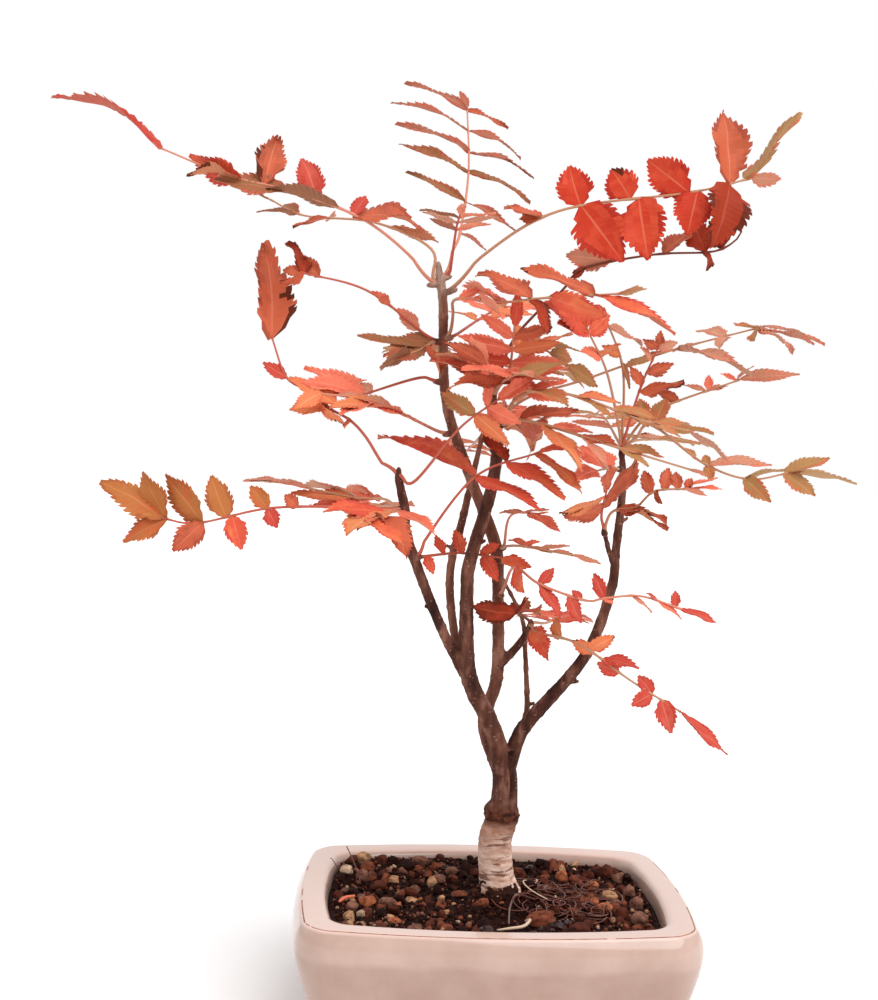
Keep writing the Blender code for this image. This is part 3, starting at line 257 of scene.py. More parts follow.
leaf("low_left", "left_low", 28, (0, -1, 0.12),
     ((-89, -38, 276), (-127, -36, 274), (-164, -32, 265), (-183, -30, 267)),
     ((0.42, 42, 0.35, 0), (0.55, 58, 0.55, 0), (0.72, 84, 0.85, -10), (0.82, 55, 1.2, 25),
      (0.97, 43, 1.05, 35)),
     ((0.55, 110, 0.4, 0), (0.7, 93, 0.65, -10), (0.82, 34, 0.8, -10), (0.97, 35, 0.95, 30)),
     end=(-22, 1.45, 40, 0.08), lift=4, arch=0.15, wide=0.5, tints="BGGGGKSBGG")
leaf("left_front", "left_low", 28, (0, -0.75, 0.65),
     ((-63, -46, 275), (-75, -90, 272)),
     ((0.25, 5, 1.8, -15), (0.3, 17, 1.55, -5), (0.45, 36, 1.35, 15, 0.1),
      (0.82, 3, 1.35, -20, 0.1)),
     ((0, 51, 1.15, 10, 0.2), (0.68, 43, 1.45, -5, 0.2)),
     end=(60, 1, 10), lift=2, arch=0.15, wide=0.46, tints="OOSOCBS")
leaf("left_flat", "left_low", 27, (0, -0.35, 0.95),
     ((-66, -16, 280), (-82, -6, 280), (-119, 12, 286)),
     ((0.28, 44, 2.05, -45), (0.28, 6, 1.9, 20, 0.1), (0.45, 26, 1.7, -45), (0.82, 7, 1.75, -10)),
     ((0.45, 4, 1.5, -15, 0.1),),
     end=(0, 1.1, 10, 0.1), lift=2, arch=0.15, wide=0.36, tints="CCTTOT")
leaf("left_erect", "left_tip", 24, (0.1, -0.9, 0.45),
     ((-66, -24, 297), (-77, -22, 313), (-86, -20, 322), (-97, -16, 328), (-108, -12, 337),
      (-121, -8, 344), (-130, -4, 366)),
     ((0.57, 103, 1.25, 30),),
     ((0.38, 99, 0.25, 45), (0.5, 26, 0.55, -30), (0.53, 54, 0.8, 0), (0.62, 162, 1.15, 90),
      (0.78, 19, 0.65, 0)),
     end=(-17, 2.45, 15, 0.12), lift=4, arch=0.15, wide=0.44, tints="CCOOOKB")
leaf("inner_left", "inner_left", 27, (0, -0.6, 0.8),
     ((-51, -6, 346), (-94, -24, 330)),
     ((0.65, 88, 0.45, 0), (0.7, 64, 1.5, -5, 0.2), (0.7, 41, 1.4, 0, 0.2), (0.82, 13, 0.8, -10)),
     (),
     end=(-67, 1.2, 0, 0.2), lift=4, arch=0.15, wide=0.42, tints="TCCOO")
leaf("inner_low", "lower_inner", 30, (0, -0.62, 0.78),
     ((-73, -24, 332), (-101, -34, 335)),
     ((0.47, 4, 1, -5, 0.2),),
     ((0.28, 3, 1.15, 15), (0.38, 8, 0.8, 55), (0.57, 25, 1.15, 10), (0.62, 39, 1.05, 35)),
     end=(44, 0.75, -20, 0.2), lift=4, arch=0.15, wide=0.36, tints="TCCOCO")
leaf("mid_left_far", "mid_left", 19, (0, -0.9, 0.4),
     ((-78, -10, 392), (-115, -10, 401)),
     ((0.12, 5, 0.85, 25), (0.38, 7, 0.65, -25), (0.88, 38, 0.85, 20), (0.97, 57, 1.2, -30)),
     ((0.97, 51, 0.75, -80),),
     end=(7, 0.55, 0, 0.1), lift=4, arch=0.15, wide=0.5, tints="TBBMBB")
leaf("mid_left_brown", "mid_left", 25, (0, -0.85, 0.55),
     ((-49, -18, 361), (-55, -26, 358)),
     ((0, 47, 1, 30, 0.08), (0.4, 57, 1.55, -5, 0.05), (0.55, 13, 1.3, 0, 0.08)),
     ((0.42, 48, 0.95, -20),),
     end=(-1, 1.2, 80, 0.08), lift=0, arch=0.15, wide=0.46, tints="DDDBD")
leaf("centre_left", "front_tip", 32, (-0.1, -0.8, 0.6),
     ((-14, -48, 350), (-17, -58, 355)),
     even(0.3, (78, 60), (1.1, 1, 0.9)),
     even(0.3, (90, 100), (1, 1.1, 1.1)),
     end=0.8, lift=8, arch=0.15, wide=0.33, turn=(50, 20, 0), tints="BCBCCCC")
leaf("centre_band", "front_tip", 33, (0.1, -0.75, 0.6),
     ((-5, -40, 345), (-1, -66, 347)),
     even(0.3, (80, 80), (1, 1, 0.9)),
     even(0.3, (75, 60), (1.2, 1.1, 1)),
     end=0.9, lift=8, arch=0.15, wide=0.33, turn=(40, 35, 0), tints="CCVBBCT")
leaf("hanging_pink", "centre_low", 18, (0, -0.5, 0.85),
     ((3, -12, 273), (18, -22, 275)),
     ((0.75, 172, 0.85, 0), (0.78, 29, 0.75, -10)),
     ((0.82, 32, 1.65, 10, 0.08),),
     end=(21, 0.3, 0, 0.1), lift=8, arch=0.15, wide=0.34, tints="TTCC")
leaf("hanging_tan", "centre_low", 19, (0, -0.35, 0.93),
     ((1, -10, 256), (10, -22, 257), (34, -38, 254)),
     ((0.47, 72, 0.6, 20), (0.53, 143, 1.6, 5), (0.53, 4, 0.75, 0), (0.65, 45, 0.9, 0),
      (0.78, 15, 0.7, 0)),
     (),
     end=(-6, 0.95, 0, 0.06), lift=8, arch=0.15, wide=0.34, tints="CCTTTT")
leaf("low_right_a", "lower_front", 14.5, (0, -0.95, 0.3),
     ((4, -28, 246), (16, -44, 239), (39, -54, 232), (48, -60, 234), (66, -64, 236), (87, -66, 230)),
     ((0.42, 79, 0.8, 25), (0.6, 146, 0.5, 25), (0.7, 106, 1, 0), (0.9, 155, 0.45, 50),
      (0.97, 110, 0.6, -15)),
     ((0.28, 34, 1.8, -15), (0.42, 23, 1.55, 45), (0.55, 46, 1.1, 0), (0.7, 35, 0.4, 50),
      (0.8, 32, 0.95, 65), (0.9, 12, 1.1, 55)),
     end=(3, 1.35, -50, 0.08), lift=4, arch=0.15, wide=0.5, tints="KKKKKSKKCTCK")
leaf("dark_front", "lower", 22, (0, -0.9, 0.4),
     ((6, -16, 222), (5, -24, 221)),
     ((0.5, 155, 1.9, 75),),
     ((0.97, 156, 0.9, -35),),
     end=(-91, 1.05, -90, 0.1), lift=0, arch=0.15, wide=0.62, tints="BMM")
leaf("low_right_b", "lower", 16, (0, -0.9, 0.45),
     ((20, -6, 209), (39, -36, 207), (64, -52, 191), (90, -58, 176)),
     ((0.33, 149, 1.35, -30), (0.5, 68, 1, 25), (0.57, 31, 1.25, -20), (0.85, 154, 0.7, 0)),
     ((0.07, 3, 2.05, -30), (0.53, 173, 0.9, 25), (0.68, 166, 0.75, 20), (0.85, 118, 0.75, 5),
      (0.9, 46, 1.05, -15)),
     end=(-12, 2.05, -50, -0.03), lift=4, arch=0.15, wide=0.5, tints="OOKKSOKKKK")
leaf("shoot_fan", "right_shoot", 28, (0, -0.9, 0.4),
     ((52, -16, 275), (50, -44, 290)),
     even(0.5, (75, 70), (1.2, 1)),
     even(0.5, (60, 70), (1.1, 1.1)),
     end=1, lift=0, arch=0.15, wide=0.46, tints="BBBOB")
leaf("shoot_right", "right_shoot", 18, (0, -0.85, 0.5),
     ((58, -16, 277), (69, -24, 280), (78, -30, 289), (95, -36, 291)),
     ((0.65, 75, 0.75, 20), (0.78, 77, 0.75, 15), (0.9, 99, 0.6, 0), (0.95, 24, 1.05, -50, 0.1),
      (0.97, 68, 0.4, 0)),
     ((0.28, 15, 1.8, 45, 0.1), (0.35, 21, 1.7, 60, 0.1), (0.7, 82, 0.5, -40),
      (0.95, 15, 0.75, 80, 0.1)),
     end=(0, 1, -50, 0.05), lift=8, arch=0.15, wide=0.5, tints="BBBCBBBBCC")
leaf("right_near", "right_side", 32, (0, -0.85, 0.5),
     ((56, -18, 301), (44, -44, 299)),
     even(0.3, (130, 130), (1, 1)),
     even(0.3, (80, 100), (0.9, 1)),
     end=0.8, lift=0, arch=0.15, wide=0.44, turn=(20, 0, 0), tints="CCCCC")
# leaves on the side away from the viewer, all alike
for name, mass, tints, route in (
        ("back_a", "mid_right", "OCVO", ((-6, 56, 390), (14, 92, 399))),
        ("back_b", "mid_left", "BVMV", ((-46, 24, 366), (-51, 94, 368))),
        ("back_c", "front_tip", "OCCV", ((6, 14, 353), (23, 52, 358), (43, 92, 358))),
        ("back_d", "back_tip", "COSC", ((11, 72, 332), (28, 110, 335))),
        ("back_e", "back_tip", "COSC", ((-15, 70, 310), (-18, 104, 305))),
        ("back_f", "right_tip", "OVCT", ((65, 66, 330), (65, 104, 333))),
        ("back_g", "right_tip", "VTOV", ((80, 32, 317), (121, 104, 319))),
        ("back_h", "left_low", "COSO", ((-64, 4, 276), (-83, 76, 271))),
        ("back_i", "lower", "SCS", ((30, 30, 210), (47, 92, 209)))):
    leaf(name, mass, 25, (0, -0.2, 1), route, even(0.4, (60, 50), (1, 1.05, 1)),
         even(0.4, (60, 50), (1, 1.05, 1)), end=1, lift=8, arch=0.15, wide=0.42, tints=tints)

MASS_SLOT = {
    "upper_left": "coral", "top": "coral", "upper_right": "scarlet", "mid_left": "brown",
    "mid_right": "scarlet", "inner_left": "olive", "lower_inner": "coral", "left_tip": "orange",
    "left_low": "orange", "left_mid": "scarlet", "front_tip": "scarlet", "front_side": "coral",
    "back_tip": "olive", "right_tip": "olive", "right_side": "brown", "right_shoot": "scarlet",
    "centre_low": "coral", "lower_front": "scarlet", "lower": "scarlet"}

# sRGB tints of the leaflets: blade, the colour that it turns to, edge, rib and underside
TINTS = {
    "S": ((212, 85, 62), (228, 121, 78), (202, 77, 62), (216, 113, 86), (198, 117, 94)),
    "R": ((196, 58, 36), (214, 84, 54), (178, 48, 31), (208, 100, 72), (184, 92, 68)),
    "C": ((237, 121, 94), (217, 100, 78), (235, 128, 100), (243, 150, 118), (225, 144, 116)),
    "O": ((226, 125, 83), (214, 133, 85), (208, 103, 71), (232, 157, 111), (210, 141, 107)),
    "Y": ((220, 146, 84), (210, 104, 66), (224, 126, 70), (222, 158, 104), (198, 140, 98)),
    "B": ((198, 96, 66), (160, 78, 56), (170, 80, 58), (206, 114, 82), (198, 128, 96)),
    "K": ((194, 72, 58), (202, 90, 72), (184, 64, 52), (206, 110, 92), (186, 98, 82)),
    "G": ((182, 110, 60), (204, 96, 60), (172, 94, 54), (196, 124, 78), (176, 110, 74)),
    # D: the top leaves' olive-brown, darkened as painted shade for leaves seen against the light
    "D": ((150, 96, 62), (170, 96, 68), (176, 90, 66), (160, 112, 78), (152, 104, 78)),
    "P": ((164, 102, 80), (178, 94, 72), (184, 92, 72), (184, 120, 96), (170, 112, 90)),
    "M": ((160, 54, 30), (120, 42, 24), (106, 38, 21), (170, 74, 48), (160, 86, 58)),
    "V": ((176, 129, 82), (198, 111, 72), (198, 111, 74), (196, 147, 98), (190, 151, 110)),
    "T": ((204, 139, 111), (216, 121, 95), (212, 125, 101), (220, 157, 131), (204, 153, 129))}
SCORCHED = (96, 40, 22)
STEPS = 5  # shades from the blade's colour to the one that it turns to
EDGE, RIB_ROLE, SCORCH, UNDER, UNDER_EDGE = range(STEPS, STEPS + 5)
STALK_TINTS = {"red": (186, 92, 72), "pink": (208, 134, 110), "tan": (190, 138, 106), "brown": (118, 58, 40)}


def linear(colour):
    """An sRGB colour of 0 to 255 as linear RGBA."""
    parts = [min(max(c, 0), 255) / 255 for c in colour]
    return tuple(c / 12.92 if c <= 0.04045 else ((c + 0.055) / 1.055) ** 2.4 for c in parts) + (1.0,)


class Nodes:
    """Short names for building one material's nodes."""

    def __init__(self, name, colour, roughness, specular=0.5):
        self.material = bpy.data.materials.new(name)
        self.material.use_nodes = True
        self.tree = self.material.node_tree
        self.shader = self.tree.nodes["Principled BSDF"]
        self.shader.inputs["Base Color"].default_value = linear(colour)
        self.shader.inputs["Roughness"].default_value = roughness
        self.shader.inputs["Specular IOR Level"].default_value = specular
        self.place = self.add("ShaderNodeTexCoord").outputs["Object"]

    def add(self, kind, **values):
        node = self.tree.nodes.new(kind)
        for key, value in values.items():
            if hasattr(node, key):
                setattr(node, key, value)
            else:
                node.inputs[key.replace("_", " ")].default_value = value
        return node

    def link(self, source, target):
        self.tree.links.new(source, target)

    def scaled(self, scale):
        node = self.add("ShaderNodeMapping")
        node.inputs["Scale"].default_value = scale
        self.link(self.place, node.inputs["Vector"])
        return node.outputs["Vector"]

    def noise(self, scale, stretch=(1, 1, 1), detail=4, rough=0.55):
        node = self.add("ShaderNodeTexNoise", Scale=scale, Detail=detail, Roughness=rough)
        self.link(self.scaled(stretch), node.inputs["Vector"])
        return node.outputs["Fac"]

    def cells(self, scale, stretch=(1, 1, 1), feature="F1"):
        node = self.add("ShaderNodeTexVoronoi", feature=feature, Scale=scale)
        self.link(self.scaled(stretch), node.inputs["Vector"])
        return node.outputs["Distance"]

    def ramp(self, value, *stops):
        """stops are (place, sRGB colour or grey from 0 to 1)."""
        node = self.add("ShaderNodeValToRGB")
        self.link(value, node.inputs["Fac"])
        elements = node.color_ramp.elements
        while len(elements) < len(stops):
            elements.new(0.5)
        for element, (at, colour) in zip(elements, stops):
            element.position = at
            element.color = linear(colour) if isinstance(colour, tuple) else (colour,) * 3 + (1,)
        return node.outputs["Color"]

    def mix(self, factor, first, second):
        node = self.add("ShaderNodeMix", data_type="RGBA")
        for value, socket in ((factor, node.inputs[0]), (first, node.inputs[6]), (second, node.inputs[7])):
            if isinstance(value, bpy.types.NodeSocket):
                self.link(value, socket)
            else:
                socket.default_value = linear(value) if isinstance(value, tuple) else value
        return node.outputs[2]

    def product(self, first, second):
        node = self.add("ShaderNodeMath", operation="MULTIPLY")
        self.link(first, node.inputs[0])
        self.link(second, node.inputs[1])
        return node.outputs[0]

    def height_share(self, low, high):
        """0 below the height low and 1 above high, in millimetres."""
        split = self.add("ShaderNodeSeparateXYZ")
        self.link(self.place, split.inputs[0])
        share = self.add("ShaderNodeMapRange")
        share.inputs["From Min"].default_value = low * MM
        share.inputs["From Max"].default_value = high * MM
        self.link(split.outputs["Z"], share.inputs["Value"])
        return share.outputs["Result"]

    def colour(self, socket):
        self.link(socket, self.shader.inputs["Base Color"])

    def bump(self, height, distance, strength=0.6):
        node = self.add("ShaderNodeBump", Strength=strength, Distance=distance * MM)
        self.link(height, node.inputs["Height"])
        last = self.shader.inputs["Normal"].links
        if last:
            self.link(last[0].from_socket, node.inputs["Normal"])
        self.link(node.outputs["Normal"], self.shader.inputs["Normal"])

    def roughness(self, value, low, high):
        share = self.add("ShaderNodeMapRange")
        share.inputs["To Min"].default_value = low
        share.inputs["To Max"].default_value = high
        self.link(value, share.inputs["Value"])
        self.link(share.outputs["Result"], self.shader.inputs["Roughness"])


def unit(vectors):
    vectors = np.asarray(vectors, float)
    return vectors / np.maximum(np.linalg.norm(vectors, axis=-1, keepdims=True), 1e-9)


def smooth(points, count):
    """count evenly spaced points on a Catmull-Rom curve through the given ones, and its length."""
    p = np.asarray(points, float)
    p = np.vstack([2 * p[0] - p[1], p, 2 * p[-1] - p[-2]])
    t = np.linspace(0, 1, 17)[:, None]
    runs = [
        0.5 * (2 * b + (c - a) * t + (2 * a - 5 * b + 4 * c - d) * t**2 + (3 * b - a - 3 * c + d) * t**3)
        for a, b, c, d in zip(p, p[1:], p[2:], p[3:])]
    line = np.vstack([run[:-1] for run in runs[:-1]] + [runs[-1]])
    along = np.r_[0, np.cumsum(np.linalg.norm(np.diff(line[:, :3], axis=0), axis=1))]
    wanted = np.linspace(0, along[-1], count)
    return np.stack([np.interp(wanted, along, column) for column in line.T], 1), along[-1]


def pipe(stations, sides):
    """Points and faces of a closed tube through (x, y, z, radius) stations."""
    stations = np.asarray(stations, float)
    path, radii = stations[:, :3], stations[:, 3]
    ahead = unit(np.gradient(path, axis=0))
    across = unit(np.cross(ahead[0], (0.3, 1, 0.2)))
    points, faces = [], []
    for centre, way, radius in zip(path, ahead, radii):
        across = unit(across - (across @ way) * way)
        other = np.cross(way, across)
        for a in np.arange(sides) * 2 * math.pi / sides:
            points.append(centre + radius * (math.cos(a) * across + math.sin(a) * other))
    for r in range(len(path) - 1):
        for i in range(sides):
            j = (i + 1) % sides
            faces.append((r * sides + i, r * sides + j, (r + 1) * sides + j, (r + 1) * sides + i))
    last = len(path) * sides
    points += [path[0] - 0.3 * radii[0] * ahead[0], path[-1] + 0.5 * radii[-1] * ahead[-1]]
    for i in range(sides):
        j = (i + 1) % sides
        faces.append((j, i, last))
        faces.append((last - sides + i, last - sides + j, last + 1))
    return points, faces


def mesh_object(name, points, faces, materials, roles=None, flat=False):
    """A piece from points in millimetres; roles says which material each face has."""
    mesh = bpy.data.meshes.new(name)
    mesh.from_pydata([tuple(p) for p in np.asarray(points) * MM], [], faces)
    for item in materials:
        mesh.materials.append(item)
    if roles is not None:
        mesh.polygons.foreach_set("material_index", np.asarray(roles, np.int32))
    mesh.polygons.foreach_set("use_smooth", np.full(len(faces), not flat))
    mesh.update()
    obj = bpy.data.objects.new(name, mesh)
    bpy.context.scene.collection.objects.link(obj)
    return obj


class Pile:
    """Gathers points, faces and face materials of many small things into one piece."""

    def __init__(self):
        self.points, self.faces, self.roles, self.count = [], [], [], 0

    def add(self, points, faces, role):
        self.points.append(np.asarray(points, float))
        self.faces += [tuple(v + self.count for v in face) for face in faces]
        self.roles += list(role) if hasattr(role, "__len__") else [role] * len(faces)
        self.count += len(points)

    def build(self, name, materials, flat=False):
        used = sorted(set(self.roles))
        roles = [used.index(r) for r in self.roles]
        chosen = [materials[r] for r in used]
        return mesh_object(name, np.vstack(self.points), self.faces, chosen, roles, flat)


def keep(piece, slot_name, *nodes):
    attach(piece, "root")
    if nodes:
        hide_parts(*nodes)


def tree_of_pipe(stations, sides, reshape=None):
    points, faces = pipe(stations, sides)
    points = np.array(points)
    if reshape is not None:
        points = reshape(points)
    return BVHTree.FromPolygons([tuple(p * MM) for p in points], faces)


def flare(points):
    """The trunk's foot with three low lobes that die away upwards."""
    x, y = LIMBS["trunk"][1][0][:2]
    points = np.array(points)
    dx, dy, up = points[:, 0] - x, points[:, 1] - y, points[:, 2] - TRUNK_FOOT
    swell = 1 + FLARE * (1 + np.cos(3 * np.arctan2(dy, dx) + 0.6)) * np.exp(-np.maximum(up, 0) / 7) * (up < 25)
    points[:, 0], points[:, 1] = x + dx * swell, y + dy * swell
    return points


def limb_stations(name, spare=0.0, step=None):
    length = smooth(LIMBS[name][1], 9)[1]
    step = step or (7 if name == "trunk" else 12)
    stations = smooth(LIMBS[name][1], max(4, round(length / step) + 1))[0]
    stations[:, 3] += spare
    return stations


def spur_stations(mass):
    """A mass's stem: from just clear of its limb to its bud."""
    limb, bud = TUFTS[mass]
    path = smooth(LIMBS[limb][1], 400)[0]
    bud = np.array(bud, float)
    near = np.linalg.norm(path[:, :3] - bud, axis=1).argmin()
    root, radius = path[near, :3], path[near, 3]
    way = unit(bud - root)
    if near == len(path) - 1:
        ahead = unit(root - path[-8, :3])
        start, knee = root + ahead * (CLEAR + 0.05), root + ahead * 1.6
    else:
        start, knee = root + way * (radius + CLEAR + 0.05), (root + way * radius + bud) / 2
    return np.array([(*start, SPUR[0]), (*knee, SPUR[0]), (*bud, SPUR[1]), (*(bud + 1.3 * way), 0.7 * SPUR[1])])


def stalk(row, straight=True):
    """A leaf's stalk: 41 stations with radii, and its frame at each."""
    path, _ = smooth(row["route"], 41)
    along = unit(np.gradient(path, axis=0))
    if straight:
        path = np.stack([np.interp(range(41), range(0, 41, RUN), column[::RUN]) for column in path.T], 1)
    face = unit(row["face"])
    normal = unit(face - (along @ face)[:, None] * along)
    return np.c_[path, np.linspace(*STALK, 41)], along, normal, np.cross(normal, along)


def leaflets(row):
    """Every leaflet of a leaf as (station, side, angle, lift, roll, length, slimness, arch), and its tint."""
    left = stalk(row)[3]
    up_side = 1 if left[20:, 2].mean() > 0 else -1
    rng = np.random.default_rng(sum(map(ord, row["name"])))
    rows = [(up_side, row["turn"][0], row["upper"]), (-up_side, row["turn"][1], row["lower"])]
    if row["end"]:
        end = row["end"] if isinstance(row["end"], tuple) else (0, row["end"])
        rows.append((1, row["turn"][2], ((1, *end),)))
    found, tints, at_row = [], [], 0
    for side, turn, places in rows:
        for at, angle, scale, *own in places:
            drawn = rng.normal(0, 1, 3) * (not own)
            turned, arch = (*own, *(turn, row["arch"])[len(own):])
            found.append((round(at * 40), side, math.radians(angle + 2 * drawn[0]),
                          math.radians(row["lift"] + 3 * drawn[1]),
                          math.radians(side * turned + 8 * drawn[2]), row["size"] * scale, scale**-0.4, arch))
            tints.append(row["tints"][-1] if at == 1 else row["tints"][at_row % len(row["tints"])])
            at_row += 1
    return found, tints


def blade_frame(row, leaflet, size, tilt, straight=True):
    """Where a leaflet starts, the ways it points, faces and spreads, and its length."""
    path, along, normal, left = stalk(row, straight)
    k, side, angle, lift, roll, length = leaflet[:6]
    lift += math.radians(tilt)
    way = unit(math.cos(angle) * along[k]
               + math.sin(angle) * (math.cos(lift) * side * left[k] + math.sin(lift) * normal[k]))
    up = unit(normal[k] - (normal[k] @ way) * way)
    up = unit(up * math.cos(roll) + np.cross(way, up) * math.sin(roll))
    start = (0.12 * side - 0.3) if k < 40 else -1
    return path[k, :3] + start * way, way, up, np.cross(up, way), length * size


def blade_points(row, leaflet, size, tilt, margin=0.0):
    """A leaflet's solid as the source makes it, for testing its place."""
    base, way, up, across, length = blade_frame(row, leaflet, size, tilt)

    def at(t, out, high):
        return base + t * length * way - leaflet[7] * length * t**2 * up + out * across + high * up
    points = [at(0.12 if margin else 0, 0, 0)]
    for t, share in BLADE:
        half = share * row["wide"] * leaflet[6] * length / 2 + margin
        points += [at(t, half, -margin), at(t, 0, RIB * length + margin), at(t, -half, -margin)]
    return points + [at(1 + margin / length, 0, 0)]


def blade_faces():
    faces = [(0, 1 + (i + 1) % 3, 1 + i) for i in range(3)]
    last = 1 + 3 * (len(BLADE) - 1)
    for ring in range(1, last, 3):
        for i in range(3):
            a, b = ring + i, ring + (i + 1) % 3
            faces += [(a, b, b + 3), (a, b + 3, a + 3)]
    return faces + [(last + i, last + (i + 1) % 3, last + 3) for i in range(3)]


def place_leaflets(limb_trees, stem_trees):
    """The source's rule: each leaflet's size and tilt, where it clears limbs, stalks and leaflets."""
    placed, chosen = [], {}
    faces = blade_faces()
    for row in LEAVES:
        chosen[row["name"]] = []
        hard = list(limb_trees) + [t for m, _, t in stem_trees if m != row["mass"]]
        hard += [t for m, t in placed if m != row["mass"]]
        soft = [t for m, n, t in stem_trees if m == row["mass"] and n != row["name"]]
        soft += [t for m, t in placed if m == row["mass"]]
        own = []
        for at, (leaflet, tint) in enumerate(zip(*leaflets(row))):
            fallback = None
            for size, tilt in TRIES:
                points = [tuple(p * MM) for p in blade_points(row, leaflet, size, tilt, MARGIN)]
                test = BVHTree.FromPolygons(points, faces)
                if any(test.overlap(other) for other in hard):
                    continue
                fallback = fallback or (size, tilt, test)
                if not any(test.overlap(other) for other in soft):
                    fallback = (size, tilt, test)
                    break
            if fallback:
                look = OWN_LOOK.get((row["name"], at), (1, 0, 1))
                chosen[row["name"]].append((leaflet, tint, *fallback[:2], *look))
                own.append((row["mass"], fallback[2]))
        placed += own
    return chosen


# Half width of a leaflet along its length, and its columns from edge to edge with the rib in the middle
OUTLINE = ((0, 0.06), (0.05, 0.42), (0.12, 0.72), (0.22, 0.92), (0.35, 1), (0.5, 0.98), (0.65, 0.85),
           (0.78, 0.62), (0.88, 0.38), (0.95, 0.18), (1, 0.02))
COLUMNS = (-1, -0.68, -0.35, -0.045, 0.045, 0.35, 0.68, 1)
THICK = 0.26  # mm
FIRST_TOOTH, TOOTH = 0.13, 2.5
VEIN_SLANT = 0.3
# Leaflets unlike their row's rule: (share of the width, withered side, share of the length)
OWN_LOOK = {("upper_left", 9): (0.5, 0, 1), ("left_erect", 6): (1.15, -1, 1), ("mid_thin", 5): (0.55, 0, 1),
            ("mid_thin", 7): (0.35, 0, 1), ("mid_thin", 8): (0.35, 0, 1), ("mid_thin", 10): (0.4, 0, 1),
            ("right_pink", 6): (0.85, 0, 1), ("upper_right", 2): (1.2, 0, 1.05), ("upper_right", 3): (1.25, 0, 1.1),
            ("upper_right", 4): (1.15, 0, 1.05), ("upper_right", 7): (1.2, 0, 1.2),
            ("upper_right", 8): (1.25, 0, 1.08), ("upper_right", 9): (1.3, 0, 1.15),
            ("upper_right", 10): (1.25, 0, 1.1), ("right_over", 3): (1.2, 0, 1.1), ("right_over", 2): (1.2, 0, 1.1),
            ("upper_left", 3): (1, 1, 1)}
OWN_LOOK.update({("top_back", at): (0.58, 0, 1) for at in range(11)})
OWN_LOOK.update({("top_front", at): (0.55, 0, 1) for at in range(7)})
OWN_LOOK.update({("low_left", at): (1.12, 0, 1) for at in range(2, 10)})
OWN_LOOK.update({("low_right_b", at): (1.25, 0, 1.05) for at in (3, 6, 7, 8)})


def tooth_line(length, rng):
    """Stations from base to tip as (place, both edges' widths, how far the edge leans ahead)."""
    teeth = int(np.clip(round(length * (1 - FIRST_TOOTH) / TOOTH), 5, 10))
    step = (0.975 - FIRST_TOOTH) / teeth
    line = [(0.0, (1, 1), 0), (0.07, (1, 1), 0)]
    for tooth in range(teeth):
        f = FIRST_TOOTH + step * (tooth + rng.uniform(-0.05, 0.05))
        deep = rng.uniform(0.05, 0.19, 2) * (1 + 0.012 * min(max(length - 20, 0), 25))
        line += [(f, 1 - deep, 0), (f + 0.5 * step, 1 + 0.1 * deep, 0.12 * step),
                 (f + 0.82 * step, 1 + 0.3 * deep, 0.4 * step)]
    return line + [(1.0, (1, 1), 0)]


